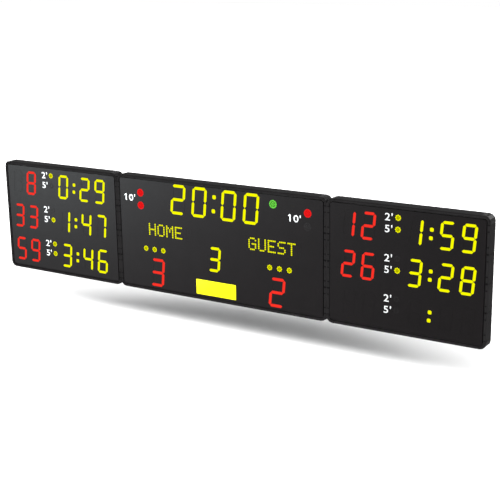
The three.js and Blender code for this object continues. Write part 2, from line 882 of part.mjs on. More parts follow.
// The rocker tipped to one side, with the axle that it tips on.
function rocker() {
  const halfLength = switchLength / 2 - switchWall - rockerEndClearance;
  const halfWidth = switchWidth / 2 - switchWall - switchFit;
  const half = rockerThickness / 2;
  const outline = [
    [-halfLength, -half],
    [0, rockerPeak - half],
    [halfLength, -half],
    [halfLength, half - rockerPeak],
    [0, half],
    [-halfLength, half - rockerPeak],
  ];
  const axleHalf = switchWidth / 2 - switchWall + rockerAxleReach;
  const axle = ring(0, 0, rockerAxleRadius, rockerAxleSides);
  const level = prism("y", outline, -halfWidth, halfWidth).add(prism("y", axle, -axleHalf, axleHalf));
  return level.rotate([0, rockerTiltDegrees, 0]).translate([0, 0, rockerAxleZ]);
}

// The cuts in the centre bottom rail for the gland and the switch, in the rail's own turned frame.
function entryCuts() {
  const gland = ring(-glandX, entrySetback, glandNeckRadius + glandClearance, glandSides);
  const halfX = switchLength / 2 + switchFit;
  const halfY = switchWidth / 2 + switchFit;
  return [
    prism("z", gland, -(wallThickness + overrun), overrun),
    block(
      [-switchX - halfX, entrySetback - halfY, -(wallThickness + overrun)],
      [halfX - switchX, entrySetback + halfY, overrun],
    ),
  ];
}

// Wall rails

// A channel with its web on the wall and its flanges towards the cabinets.
function wallRail() {
  const half = totalWidth / 2 - wallRailEndInset;
  const top = wallRailHeight / 2;
  const section = [
    [-wallRailDepth, -top],
    [0, -top],
    [0, top],
    [-wallRailDepth, top],
    [-wallRailDepth, top - wallRailThickness],
    [-wallRailThickness, top - wallRailThickness],
    [-wallRailThickness, wallRailThickness - top],
    [-wallRailDepth, wallRailThickness - top],
  ];
  const holes = wallHoleShares.map((share) =>
    prism(
      "y",
      ring(share * 2 * half, 0, wallHoleRadius, wallHoleSides),
      -(wallRailThickness + overrun),
      overrun,
    ),
  );
  return cut(prism("x", section, -half, half), holes);
}

// Assembly

// The frame pieces, door, hinge rod and latches of one cabinet.
function cabinet(side, width, modules, extraCuts, supplyX) {
  const group = new THREE.Group();
  const place = (mesh, x, y, z, turn) => {
    mesh.position.set(x, y, z);
    mesh.rotation.y = turn;
    group.add(mesh);
  };
  const right = width / 2;
  const top = cabinetHeight / 2;
  place(piece(`${side}_top_rail`, topRail(width), paintedRail()), 0, 0, top, 0);
  place(piece(`${side}_bottom_rail`, bottomRail(width, extraCuts), paintedRail()), 0, 0, -top, Math.PI);
  place(piece(`${side}_left_column`, column(), mouldedGrey()), -right, 0, 0, -Math.PI / 2);
  place(piece(`${side}_right_column`, column(), mouldedGrey()), right, 0, 0, Math.PI / 2);
  [
    ["top_right_corner", right, top, 0, false],
    ["top_left_corner", -right, top, 0, true],
    ["bottom_left_corner", -right, -top, Math.PI, false],
    ["bottom_right_corner", right, -top, Math.PI, true],
  ].forEach(([name, x, z, turn, mirrored]) => {
    const corner = piece(`${side}_${name}`, cornerPiece(), mouldedGrey());
    if (mirrored) corner.scale.x = -1;
    place(corner, x, 0, z, turn);
  });
  place(piece(`${side}_rear_panel`, rearPanel(width), zincSheet()), 0, 0, 0, 0);
  const windows = modules.flatMap(({ windows: openings }) => openings);
  place(piece(`${side}_front_door`, frontDoor(width, windows), faceFilm()), 0, 0, 0, 0);
  place(piece(`${side}_hinge_rod`, hingeRod(width), steel()), 0, 0, 0, 0);
  latchPlaces(width).forEach((x, i) => {
    place(piece(`${side}_latch_${i + 1}`, latch(), steel()), x, latchY, -top, 0);
  });
  const supply = earedCase(supplyX, supplyWidth, supplyHeight, supplyDepth);
  place(piece(`${side}_power_supply`, supply, circuitCase()), 0, 0, 0, 0);
  modules.forEach(({ name, made }) => place(piece(name, made, filterBlack()), 0, 0, 0, 0));
  return group;
}

function sideCabinet(side, minuteShare) {
  const modules = [
    { name: `${side}_number_display`, ...penaltyNumbers(minuteShare) },
    { name: `${side}_time_display`, ...penaltyTimes(minuteShare) },
  ];
  return cabinet(side, sideCabinetWidth, modules, [], sideSupplyShare * sideDoorWidth);
}

const leftCabinet = sideCabinet("left", leftMinuteShare);
const rightCabinet = sideCabinet("right", rightMinuteShare);
const centreCabinet = cabinet(
  "centre",
  centreCabinetWidth,
  [
    { name: "clock_display", ...clockStrip() },
    { name: "period_display", ...periodNumber() },
    { name: "home_score_display", ...teamScore(homeScoreShare, homeTimeoutShare) },
    { name: "guest_score_display", ...teamScore(guestScoreShare, guestTimeoutShare) },
    { name: "home_name_display", ...teamName(homeNameShare) },
    { name: "guest_name_display", ...teamName(guestNameShare) },
  ],
  entryCuts(),
  centreSupplyShare * centreDoorWidth,
);

const controllerX = controllerShare * centreDoorWidth;
const controller = earedCase(controllerX, controllerWidth, controllerHeight, controllerDepth);
centreCabinet.add(piece("controller", controller, circuitCase()));
centreCabinet.add(piece("horn", horn(), blackPlastic()));
centreCabinet.add(piece("name_plate", namePlate(), signalYellow()));
[
  ["cable_gland", cableGland(), glandX],
  ["switch_housing", switchHousing(), switchX],
  ["switch_rocker", rocker(), switchX],
].forEach(([name, made, x]) => {
  const mesh = piece(name, made, blackPlastic());
  mesh.position.set(x, entrySetback, -cabinetHeight / 2);
  centreCabinet.add(mesh);
});

const cabinets = new THREE.Group();
leftCabinet.position.x = -cabinetPitch;
rightCabinet.position.x = cabinetPitch;
cabinets.add(leftCabinet, centreCabinet, rightCabinet);
cabinets.position.set(0, frontY, -railZ);

const scoreboard = new THREE.Group();
scoreboard.add(cabinets);
[
  ["upper_wall_rail", 0],
  ["lower_wall_rail", -2 * railZ],
].forEach(([name, z]) => {
  const rail = piece(name, wallRail(), steel());
  rail.position.z = z;
  scoreboard.add(rail);
});

export default scoreboard;
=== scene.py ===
"""Dresses the solids of a three-cabinet electronic scoreboard and sets it on its stage.

Metres, +Z up. The displays face -Y and the wall is the plane y = 0.
"""

import math

import bmesh
import bpy
from mathutils import Matrix, Vector


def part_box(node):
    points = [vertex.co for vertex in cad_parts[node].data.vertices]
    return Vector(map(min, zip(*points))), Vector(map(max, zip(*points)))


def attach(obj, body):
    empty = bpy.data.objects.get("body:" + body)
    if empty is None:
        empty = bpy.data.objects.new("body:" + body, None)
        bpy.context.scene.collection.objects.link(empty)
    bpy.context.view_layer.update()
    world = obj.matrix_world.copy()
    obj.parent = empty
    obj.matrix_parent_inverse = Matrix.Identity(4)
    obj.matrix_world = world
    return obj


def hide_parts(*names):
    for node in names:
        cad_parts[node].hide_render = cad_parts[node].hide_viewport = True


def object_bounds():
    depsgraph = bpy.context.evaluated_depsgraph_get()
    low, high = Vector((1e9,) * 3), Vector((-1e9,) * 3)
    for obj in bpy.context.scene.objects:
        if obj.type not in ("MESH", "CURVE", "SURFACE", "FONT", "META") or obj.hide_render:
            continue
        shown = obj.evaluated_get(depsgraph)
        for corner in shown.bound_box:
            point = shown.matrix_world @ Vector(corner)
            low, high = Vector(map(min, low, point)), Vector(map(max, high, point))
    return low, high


bl_info = {
    "name": "Electronic scoreboard",
    "version": (1, 0, 0),
    "blender": (4, 5, 0),
    "location": "3D View > Sidebar > Scoreboard",
    "description": "Finishes, displays, fittings and stage of a three-cabinet scoreboard",
    "category": "Object",
}

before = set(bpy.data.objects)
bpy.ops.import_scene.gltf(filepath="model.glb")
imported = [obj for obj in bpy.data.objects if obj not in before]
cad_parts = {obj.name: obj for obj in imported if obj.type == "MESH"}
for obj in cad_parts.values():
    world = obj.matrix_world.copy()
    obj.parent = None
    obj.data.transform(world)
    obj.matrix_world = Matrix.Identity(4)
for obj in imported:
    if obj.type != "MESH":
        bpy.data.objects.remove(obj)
SOLID_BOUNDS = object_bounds()

SIDES = ("left", "centre", "right")
TO_FRONT = Vector((0, -1, 0))
UPWARD = Vector((0, 0, 1))
UP_TO_FRONT = Matrix.Rotation(math.pi / 2, 4, "X")

# Width, height, stroke and gap of each kind of digit
DIGIT_SIZES = {
    "penalty": (0.130, 0.250, 0.025, 0.005),
    "clock": (0.165, 0.294, 0.028, 0.004),
    "score": (0.163, 0.285, 0.028, 0.004),
    "period": (0.134, 0.245, 0.027, 0.004),
}

# The bars of a digit: a top, b and c right, d bottom, e and f left, g middle
LIT_BARS = {
    " ": "",
    "0": "abcdef",
    "1": "bc",
    "2": "abdeg",
    "3": "abcdg",
    "4": "bcfg",
    "5": "acdfg",
    "6": "acdefg",
    "7": "abc",
    "8": "abcdefg",
    "9": "abcdfg",
}

# The bars' start, end and place across, as shares of half the digit, and whether they stand upright
BAR_PLACES = {
    "a": (-1, 1, 1, False),
    "g": (-1, 1, 0, False),
    "d": (-1, 1, -1, False),
    "f": (0, 1, -1, True),
    "e": (-1, 0, -1, True),
    "b": (0, 1, 1, True),
    "c": (-1, 0, 1, True),
}

# Dot-matrix letters, seven rows of five dots each
DOT_LETTERS = {
    "E": ("11111", "10000", "10000", "11110", "10000", "10000", "11111"),
    "G": ("01110", "10001", "10000", "10111", "10001", "10001", "01110"),
    "H": ("10001", "10001", "10001", "11111", "10001", "10001", "10001"),
    "M": ("10001", "11011", "10101", "10101", "10001", "10001", "10001"),
    "O": ("01110", "10001", "10001", "10001", "10001", "10001", "01110"),
    "S": ("01111", "10000", "10000", "01110", "00001", "00001", "11110"),
    "T": ("11111", "00100", "00100", "00100", "00100", "00100", "00100"),
    "U": ("10001", "10001", "10001", "10001", "10001", "10001", "01110"),
}

# Columns: four modules each, with black clips in the gaps of the rib, dark inserts put where deep slots
# would lie in shade: painted shade
MODULES_PER_COLUMN = 4
# Width of the band of painted shade along each joint between the column's modules
JOINT_SHADE_WIDTH = 0.006
RIB_OFFSET = 0.008
RIB_WIDTH = 0.017
RIB_RISE = 0.004
NOTCH_INSET = 0.059
NOTCH_WIDTH = 0.010
JOINT_GAP = 0.016
# The clips are painted shade: dark inserts where deep slots would lie in shade
SHADE_CLIP_ROOM = 0.0006
SHADE_CLIP_BEVEL = 0.0004
SHADE_CLIP_SINK_SHARE = 0.3

# Display modules
SHEET = 0.003
SEAT_GAP = 0.0003
BOARD_THICKNESS = 0.007
BOARD_MARGIN = 0.002
BOARD_BEVEL = 0.0005
WINDOW_MARGIN = 0.003
WINDOW_GAP = 0.00005
BAR_PROUD = 0.001
NAME_COLUMNS = 35
NAME_ROWS = 7
NAME_PITCH = 0.0175

# Size, and reach from the middle, of the two marks of a colon
SMALL_COLON = (0.034, 0.037)
LARGE_COLON = (0.039, 0.068)
COLON_CORNER_SHARE = 0.42

# Round lamps; a ring of lenses has a distance, a count and a size, lengths as shares of the lamp's radius
SMALL_LAMP = 0.0265
LARGE_LAMP = 0.0415
SMALL_RINGS = ((0.0, 1, 0.19), (0.75, 8, 0.30))
LARGE_RINGS = ((0.0, 1, 0.20), (0.40, 7, 0.17), (0.77, 14, 0.19))
LAMP_WINDOW_SIDES = 8
DIFFUSER_SHARE = 0.86
DISC_DRAFT = 0.0006
LENS_CROWN = 0.72
LENS_STEPS = 10
LENS_RISE = 0.0012

# How strongly the diffuser behind a lamp's lenses shines
LAMP_GLOWS = {"yellow": 0.34, "red": 0.6, "green": 0.14}

# Driver chips and sockets on the back of the boards
CHIP_HALF_LENGTH = 0.009
CHIP_HALF_WIDTH = 0.004
CHIP_HEIGHT = 0.002
CHIP_BEVEL = 0.0004
CHIP_RISE_SHARE = 0.38
PINS_PER_CHIP = 8
PIN_WIDTH = 0.0009
PIN_REACH_SHARE = 1.45
PIN_HEIGHT_SHARE = 0.4
SOCKET_HALF_WIDTH = 0.008
SOCKET_HALF_HEIGHT = 0.012
SOCKET_DEPTH = 0.009
SOCKET_BEVEL = 0.0008
SOCKET_SHARES = (0.12, 0.7)

# Penalties from the top: number, time, and the minutes whose lamps are lit
PENALTIES = {
    "left": ((" 8", "029", "2"), ("33", "147", "5"), ("59", "346", "25")),
    "right": (("12", "159", "25"), ("26", "328", "5"), ("  ", "   ", "")),
}

# Penalty rows, as shares of the side door's width and height
ROW_PITCH_SHARE = 0.3366
ROW_SHIFT_SHARE = 0.0018
MINUTE_SHARES = {"left": 0.03, "right": 0.0662}
MINUTE_TO_NUMBER_SHARE = 0.3073
DIGIT_PITCH_SHARE = 0.1352
MINUTE_TO_TENS_SHARE = 0.1979
MINUTE_TO_COLON_SHARE = 0.1003
MINUTE_TO_LAMP_SHARE = 0.1129
MINUTE_TO_LABEL_SHARE = 0.1735
UPPER_LAMP_SHARE = 0.416

# Centre layout, as shares of the centre door's width
CLOCK_DIGIT_SHARES = (-0.1923, -0.0845, 0.0613, 0.1695)
CLOCK_COLON_SHARE = -0.011
PERIOD_SHARE = -0.014
SCORE_SHARES = {"home": -0.3127, "guest": 0.2887}
TIMEOUT_SHARES = {"home": -0.325, "guest": 0.3009}
TIMEOUT_PITCH_SHARE = 0.046
NAME_SHARES = {"home": -0.2637, "guest": 0.2659}

# Lamps beside the clock: place across the door, then rise over the digits' height and colour
CLOCK_LAMPS = (
    (0.2733, ((0.239, "green"),)),
    (-0.3907, ((0.082, "red"), (-0.35, "red"))),
    (0.4314, ((0.082, "red"), (-0.35, "unlit"))),
)

# Room over the clock's digits, then the centre layout as shares of the door's height
CLOCK_TOP_CLEARANCE = 0.007
PERIOD_RISE_SHARE = -0.1439
SCORE_RISE_SHARE = -0.3519
TIMEOUT_RISE_SHARE = -0.1365
NAME_RISE_SHARE = 0.0511

# Labels of the lamps beside the clock, as shares of the centre door's width and height
LAMP_LABEL_SHARES = {"home": (-0.4455, 0.326), "guest": (0.3749, 0.323)}

# Printed letters: how far they grow bolder, their spacing, thickness and curve steps
LETTER_WEIGHT = 0.010
LETTER_SPACING = 1.1
LETTER_THICKNESS = 0.002
LETTER_CURVE_STEPS = 6

# The slanted stroke of a 1, as shares of the label's height, and how far it lies inside the letter
FLAG_REACH_SHARE = 0.20
FLAG_STROKE_SHARE = 0.16
FLAG_LAP_SHARE = 0.03
FLAG_INSET = 0.0001

# The cone in the horn's mouth: radius, and height as a share of the horn's depth
HORN_CONE = ((0.0, 0.8), (0.006, 0.76), (0.012, 0.5), (0.0, 0.48))

# Corners and front edge of the plate
PLATE_CORNER = 0.004
PLATE_BEVEL = 0.0006

# Screws of the rear sheets: distance from the edge, and room at the rounded corners
SCREW_INSET = 0.013
SCREW_CORNER = 0.075


# Settings


def text_setting(name, description, default):
    return bpy.props.StringProperty(name=name, description=description, default=default)


def number_setting(name, description, default):
    return bpy.props.FloatProperty(name=name, description=description, default=default)


def length_setting(name, description, default):
    return bpy.props.FloatProperty(name=name, description=description, default=default, unit="LENGTH")


def angle_setting(name, description, degrees):
    return bpy.props.FloatProperty(
        name=name,
        description=description,
        default=math.radians(degrees),
        subtype="ANGLE",
        unit="ROTATION",
    )


def colour_setting(name, description, default):
    return bpy.props.FloatVectorProperty(
        name=name, description=description, subtype="COLOR", default=default
    )


class BoardContent(bpy.types.PropertyGroup):
    """What the board shows"""

    clock: text_setting("Clock", "Four digits of the match clock", "2000")
    period: text_setting("Period", "One digit for the period", "3")
    home_score: text_setting("Home score", "One digit for the home side", "3")
    guest_score: text_setting("Guest score", "One digit for the guest side", "2")
    home_name: text_setting("Home name", "Word on the left name display", "HOME")
    guest_name: text_setting("Guest name", "Word on the right name display", "GUEST")


class BoardSizes(bpy.types.PropertyGroup):
    """Sizes of what is printed or fitted on the board"""

    slant: angle_setting("Slant", "Lean of the digits", 5.2)
    label_height: length_setting("Label height", "Height of the printed minutes", 0.068)
    label_stretch: number_setting("Label stretch", "Width of the letters over the font's own", 1.17)
    wide_label_stretch: number_setting(
        "Wide label stretch", "The same for the labels beside the clock", 1.22
    )
    dot_radius: length_setting("Dot radius", "Radius of one dot of a name", 0.0079)
    bar_bevel: length_setting("Bar bevel", "Rounding of the light bars' front edges", 0.0006)
    screw_radius: length_setting("Screw radius", "Radius of the screw heads on the back", 0.004)
    screw_pitch: length_setting("Screw pitch", "Most distance between two screws of a rear sheet", 0.26)


class BoardColours(bpy.types.PropertyGroup):
    """Colours of the finishes, as written for plain white light"""

    face: colour_setting("Face", "Printed film on the doors", (0.0056, 0.0042, 0.0046))
    moulding: colour_setting("Mouldings", "Plastic of the columns and corners", (0.0310, 0.0296, 0.0304))
    rail: colour_setting("Rails", "Coating of the top and bottom rails", (0.0310, 0.0296, 0.0304))
    yellow: colour_setting("Yellow light", "Lit yellow parts", (1.0, 1.0, 0.0))
    red: colour_setting("Red light", "Lit red bars", (1.0, 0.034, 0.021))
    red_lamp: colour_setting("Red lamp", "Lit red lamps", (1.0, 0.012, 0.013))
    green: colour_setting("Green light", "Lit green lamp", (0.20, 0.90, 0.09))
    plate: colour_setting("Plate", "Bare plate at the bottom", (1.0, 0.90, 0.0))


class BoardStage(bpy.types.PropertyGroup):
    """Camera, floor and light"""

    azimuth: angle_setting("Azimuth", "The camera's turn to the right of the front", 32.614)
    elevation: angle_setting("Elevation", "The camera's height angle", 14.951)
    roll: angle_setting("Roll", "The camera's turn about its line of view", -0.933)
    distance: length_setting("Distance", "From the camera to the aim", 10.355)
    lens: number_setting("Lens", "Focal length in millimetres on a 36 mm sensor", 80.395)
    aim: bpy.props.FloatVectorProperty(
        name="Aim",
        description="Point in the middle of the picture",
        default=(0.3734, -0.1333, -0.3611),
        unit="LENGTH",
    )
    floor_gap: length_setting("Floor gap", "From the lowest point to the floor", 0.38)
    floor_light: number_setting("Floor light", "Light of the lamps that shine on the floor alone", 2.1)


# Materials

# Coated finishes: material, colour or the setting that holds it, factor on the colour, roughness,
# specular level, scale and depth of the grain, change of the clouds, metallic
COATED = {
    "face": ("satin_face_film", "face", 1.0, 0.46, 0.125, 1400.0, 0.00002, 0.10, 0.0),
    "column": ("moulded_column", "moulding", 1.0, 0.72, 0.01, 700.0, 0.00006, 0.12, 0.0),
    "corner": ("moulded_corner", "moulding", 0.9, 0.26, 0.012, 700.0, 0.000003, 0.12, 0.0),
    "rail": ("coated_rail", "rail", 1.0, 0.70, 0.01, 1100.0, 0.00003, 0.12, 0.0),
    # The clips' black is painted shade for the deep slots of the rib
    "clip": ("black_clip", (0.004, 0.004, 0.004), 1.0, 0.7, 0.03, 900.0, 0.00003, 0.12, 0.0),
    "unlit_bar": ("unlit_bar", "face", 1.0, 0.46, 0.125, 1400.0, 0.00002, 0.10, 0.0),
    "unlit_diode": ("unlit_diode", "face", 1.1, 0.44, 0.14, 900.0, 0.00001, 0.12, 0.0),
    "bezel": ("lamp_bezel", "face", 0.95, 0.46, 0.14, 1400.0, 0.00002, 0.12, 0.0),
    "print": ("white_print", (0.9, 0.9, 0.9), 1.0, 0.6, 0.2, 900.0, 0.00001, 0.02, 0.0),
    "plate": ("yellow_plate", "plate", 1.0, 0.5, 0.2, 900.0, 0.00002, 0.03, 0.0),
    "case": ("case_metal", (0.24, 0.25, 0.26), 1.0, 0.42, 0.5, 500.0, 0.00003, 0.06, 0.85),
    "black": ("black_plastic", (0.012, 0.012, 0.013), 1.0, 0.45, 0.4, 800.0, 0.00005, 0.12, 0.0),
    "rubber": ("black_rubber", (0.010, 0.010, 0.010), 1.0, 0.75, 0.3, 500.0, 0.00008, 0.12, 0.0),
    "board": ("circuit_board", (0.018, 0.15, 0.045), 1.0, 0.38, 0.4, 300.0, 0.00005, 0.12, 0.0),
    "green_block": ("terminal_block", (0.02, 0.16, 0.06), 1.0, 0.45, 0.4, 500.0, 0.00003, 0.12, 0.0),
}

# Drawn and rolled metals: material, colour, roughness
DRAWN = {
    "steel": ("plated_steel", (0.55, 0.56, 0.57), 0.38),
    "dark_steel": ("blackened_steel", (0.030, 0.029, 0.029), 0.55),
    "rear_sheet": ("rolled_sheet", (0.34, 0.35, 0.36), 0.44),
    "wall_rail": ("galvanised_rail", (0.48, 0.49, 0.50), 0.48),
}

# The finish of each solid, by how its name ends
SOLID_FINISHES = {
    "column": ("_column",),
    "corner": ("_corner",),
    "rail": ("_top_rail", "_bottom_rail"),
    "face": ("_front_door", "_display"),
    "rear_sheet": ("_rear_panel",),
    "dark_steel": ("_hinge_rod",),
    "steel": ("_latch_1", "_latch_2"),
    "case": ("_power_supply", "controller"),
    "black": ("horn", "cable_gland", "switch_housing", "switch_rocker"),
    "plate": ("name_plate",),
    "wall_rail": ("_wall_rail",),
}

# Scales, spreads and tones of the patterns
CLOUD_SCALE = 7.0
SHEEN_SCALE = 35.0
SHEEN_SPREAD = 0.05
# How dark the painted shade in the grooves between the column's modules is
JOINT_SHADE_TONE = 0.5
LINE_SCALE = 3.0
LINE_STRETCH = (3.0, 150.0, 150.0)
LINE_TONES = (0.84, 1.08)
LINE_DEPTH = 0.00003
PATCH_SCALE = 9.0
PATCH_SPREAD = 0.1
DRAWN_METALLIC = 0.9
DIODE_SCALE = 85.0
DIODE_EDGE_TONE = 0.9
DIFFUSER_TONE = 0.01
DIFFUSER_ROUGHNESS = (0.4, 0.55)


class Nodes:
    """Short names for the work on a node tree"""

    def __init__(self, tree):
        self.tree = tree

    def add(self, kind, **inputs):
        node = self.tree.nodes.new(kind)
        for key, value in inputs.items():
            node.inputs[key.replace("_", " ")].default_value = value
        return node

    def link(self, source, target):
        self.tree.links.new(source, target)

    def maths(self, operation, first, second):
        """A sum of two values, the second a number or a node's output"""
        node = self.add("ShaderNodeMath")
        node.operation = operation
        self.link(first, node.inputs[0])
        if isinstance(second, bpy.types.NodeSocket):
            self.link(second, node.inputs[1])
        else:
            node.inputs[1].default_value = second
        return node.outputs["Value"]

    def mixed(self, share, first, second):
        """The first shader where the share is 0, and the second where it is 1"""
        node = self.add("ShaderNodeMixShader")
        for source, target in zip((share, first, second), node.inputs):
            self.link(source, target)
        return node.outputs[0]


class Finish(Nodes):
    """A material with the patterns that finishes share"""

    def __init__(self, name):
        self.material = bpy.data.materials.new(name)
        self.material.use_nodes = True
        super().__init__(self.material.node_tree)
        self.shader = self.tree.nodes["Principled BSDF"]
        self.where = self.add("ShaderNodeTexCoord").outputs["Object"]

    def drive(self, source, name):
        self.link(source, self.shader.inputs[name])

    def stretched(self, scale):
        mapping = self.add("ShaderNodeMapping", Scale=scale)
        self.link(self.where, mapping.inputs["Vector"])
        return mapping.outputs["Vector"]

    def noise(self, scale, detail, vector=None):
        node = self.add("ShaderNodeTexNoise", Scale=scale, Detail=detail)
        self.link(vector or self.where, node.inputs["Vector"])
        return node.outputs["Fac"]

    def ramp(self, value, first, last, start=0.3, end=0.7):
        """A colour that goes from the first to the last while the value goes from start to end"""
        node = self.add("ShaderNodeValToRGB")
        for element, position, colour in zip(node.color_ramp.elements, (start, end), (first, last)):
            element.position = position
            element.color = (*colour, 1.0)
        self.link(value, node.inputs["Fac"])
        return node.outputs["Color"]

    def spread(self, value, low, high):
        node = self.add("ShaderNodeMapRange", To_Min=low, To_Max=high)
        self.link(value, node.inputs["Value"])
        return node.outputs["Result"]

    def shaded_joint_lines(self, colour, low, pitch, width):
        """The colour with painted shade: darker in bands along the grooves between modules that stand on
        each other
        """
        parts = self.add("ShaderNodeSeparateXYZ")
        self.link(self.where, parts.inputs["Vector"])
        modules = self.maths("DIVIDE", self.maths("SUBTRACT", parts.outputs["Z"], low), pitch)
        from_joint = self.maths("PINGPONG", modules, 0.5)
        outside = self.maths("GREATER_THAN", from_joint, width / (2 * pitch))
        groove_shade = self.add("ShaderNodeVectorMath")
        groove_shade.operation = "SCALE"
        self.link(colour, groove_shade.inputs["Vector"])
        self.link(self.spread(outside, JOINT_SHADE_TONE, 1.0), groove_shade.inputs["Scale"])
        return groove_shade.outputs["Vector"]

    def bump(self, value, distance):
        node = self.add("ShaderNodeBump", Distance=distance)
        self.link(value, node.inputs["Height"])
        self.drive(node.outputs["Normal"], "Normal")

    def hold(self, **values):
        for key, value in values.items():
            self.shader.inputs[key.replace("_", " ")].default_value = value


def shade(colour, factor):
    return tuple(min(1.0, part * factor) for part in colour)


def coated(name, colour, roughness, specular, grain, depth, change, metallic, joints=None):
    """Paint, film or moulded plastic: faint clouds, an uneven sheen and a fine grain"""
    finish = Finish(name)
    clouds = finish.noise(CLOUD_SCALE, detail=4.0)
    tint = finish.ramp(clouds, shade(colour, 1 - change), shade(colour, 1 + change))
    # The column gets painted shade in the grooves between its modules
    if joints:
        tint = finish.shaded_joint_lines(tint, *joints)
    finish.drive(tint, "Base Color")
    sheen = finish.noise(SHEEN_SCALE, detail=3.0)
    finish.drive(finish.spread(sheen, roughness - SHEEN_SPREAD, roughness + SHEEN_SPREAD), "Roughness")
    finish.bump(finish.noise(grain, detail=1.0), depth)
    finish.hold(Metallic=metallic, Specular_IOR_Level=specular)
    return finish.material


def drawn_metal(name, colour, roughness):
    """Bare drawn or rolled metal with fine lines along x and dull patches"""
    finish = Finish(name)
    lines = finish.noise(LINE_SCALE, detail=4.0, vector=finish.stretched(LINE_STRETCH))
    tones = [shade(colour, tone) for tone in LINE_TONES]
    finish.drive(finish.ramp(lines, *tones), "Base Color")
    patches = finish.noise(PATCH_SCALE, detail=4.0)
    finish.drive(finish.spread(patches, roughness - PATCH_SPREAD, roughness + PATCH_SPREAD), "Roughness")
    finish.bump(lines, LINE_DEPTH)
    finish.hold(Metallic=DRAWN_METALLIC)
    return finish.material


def glowing(name, colour, strength=1.0):
    """A lit diffuser that is a little brighter over each diode"""
    finish = Finish(name)
    diodes = finish.add("ShaderNodeTexVoronoi", Scale=DIODE_SCALE, Randomness=0.0)
    finish.link(finish.where, diodes.inputs["Vector"])
    distance = diodes.outputs["Distance"]
    light = finish.ramp(distance, colour, shade(colour, DIODE_EDGE_TONE), start=0.2, end=0.8)
    finish.drive(light, "Emission Color")
    finish.drive(finish.spread(distance, *DIFFUSER_ROUGHNESS), "Roughness")
    base = (*shade(colour, DIFFUSER_TONE), 1.0)
    finish.hold(Base_Color=base, Emission_Strength=strength, Specular_IOR_Level=0.0)
    return finish.material


_finishes = {}


def board_finishes():
    """Every finish of the board by name, made once"""
    if _finishes:
        return _finishes
    made = _finishes
    colours = bpy.context.scene.board_colours
    low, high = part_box("centre_left_column")
    column_joints = (low.z, (high.z - low.z) / MODULES_PER_COLUMN, JOINT_SHADE_WIDTH)
    for key, (name, colour, factor, *numbers) in COATED.items():
        base = tuple(getattr(colours, colour)) if isinstance(colour, str) else colour
        joints = column_joints if key == "column" else None
        made[key] = coated(name, shade(base, factor), *numbers, joints)
    for key, (name, colour, roughness) in DRAWN.items():
        made[key] = drawn_metal(name, colour, roughness)
    for name, strength in LAMP_GLOWS.items():
        bar = tuple(getattr(colours, name))
        lamp = tuple(colours.red_lamp) if name == "red" else bar
        made[f"{name}_bar"] = glowing(f"{name}_light_bar", bar)
        made[f"{name}_diode"] = glowing(f"{name}_diode_lens", lamp)
        made[f"{name}_glow"] = glowing(f"{name}_lamp_glow", lamp, strength)
    return made


# Shapes

# A screw head on its washer: radius and height from the middle outwards, as shares of its radius
SCREW_PROFILE = ((0.0, 0.95), (0.55, 0.88), (1.0, 0.35), (1.5, 0.35), (1.5, 0.0))
SCREW_STEPS = 16
CROSS_RISE = 0.9
CROSS_DEPTH = 0.08
CROSS_REACH = 0.5
CROSS_HALF_WIDTH = 0.11

# Points of a mesh nearer than this are merged; a spin leaves its poles a little apart
SPIN_MERGE = 1e-5
TEXT_MERGE = 1e-6


def new_object(name, data):
    thing = bpy.data.objects.new(name, data)
    bpy.context.scene.collection.objects.link(thing)
    return thing


def new_mesh(name, bm):
    mesh = bpy.data.meshes.new(name)
    bm.to_mesh(mesh)
    bm.free()
    return mesh


def make_piece(name, bm, finishes, body, slot, smooth_below=None):
    """Makes a bmesh a piece that rides on a body; the finishes are its material slots"""
    bmesh.ops.recalc_face_normals(bm, faces=bm.faces)
    mesh = new_mesh(name, bm)
    for finish in finishes:
        mesh.materials.append(board_finishes()[finish])
    if smooth_below is not None:
        mesh.shade_smooth()
        mesh.set_sharp_from_angle(angle=math.radians(smooth_below))
    piece = new_object(name, mesh)
    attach(piece, body)
    return piece


def paint(faces, material):
    for face in faces:
        if face.is_valid:
            face.material_index = material


def soften(bm, edges, offset, segments):
    """Rounds edges and returns the faces that this makes"""
    made = bmesh.ops.bevel(
        bm,
        geom=list(dict.fromkeys(edges)),
        offset=offset,
        offset_type="OFFSET",
        segments=segments,
        profile=0.5,
        affect="EDGES",
        material=-1,
        clamp_overlap=True,
    )
    return made["faces"]


def add_block(bm, low, high, bevel=0.0, material=0):
    """A box between two corners, with softened edges where a bevel is given"""
    low, high = Vector(low), Vector(high)
    place = Matrix.Translation((low + high) / 2) @ Matrix.Diagonal((*(high - low), 1.0))
    verts = bmesh.ops.create_cube(bm, size=1.0, matrix=place)["verts"]
    faces = {face for vert in verts for face in vert.link_faces}
    if bevel:
        faces |= set(soften(bm, [edge for vert in verts for edge in vert.link_edges], bevel, 2))
    paint(faces, material)


def push(bm, faces, reach):
    """Extrudes faces along a vector; returns the vertices and faces that this makes"""
    made = bmesh.ops.extrude_face_region(bm, geom=faces)["geom"]
    verts = [part for part in made if isinstance(part, bmesh.types.BMVert)]
    bmesh.ops.translate(bm, verts=verts, vec=reach)
    return verts, [part for part in made if isinstance(part, bmesh.types.BMFace)]


def add_prism(bm, outline, reach, bevel=0.0, material=0):
    """A flat outline of points pushed out along a vector, with its far edges softened"""
    near = [bm.verts.new(point) for point in outline]
    far, caps = push(bm, [bm.faces.new(near)], reach)
    faces = {face for vert in near + far for face in vert.link_faces}
    if bevel:
        faces |= set(soften(bm, caps[0].edges, bevel, 2))
    paint(faces, material)


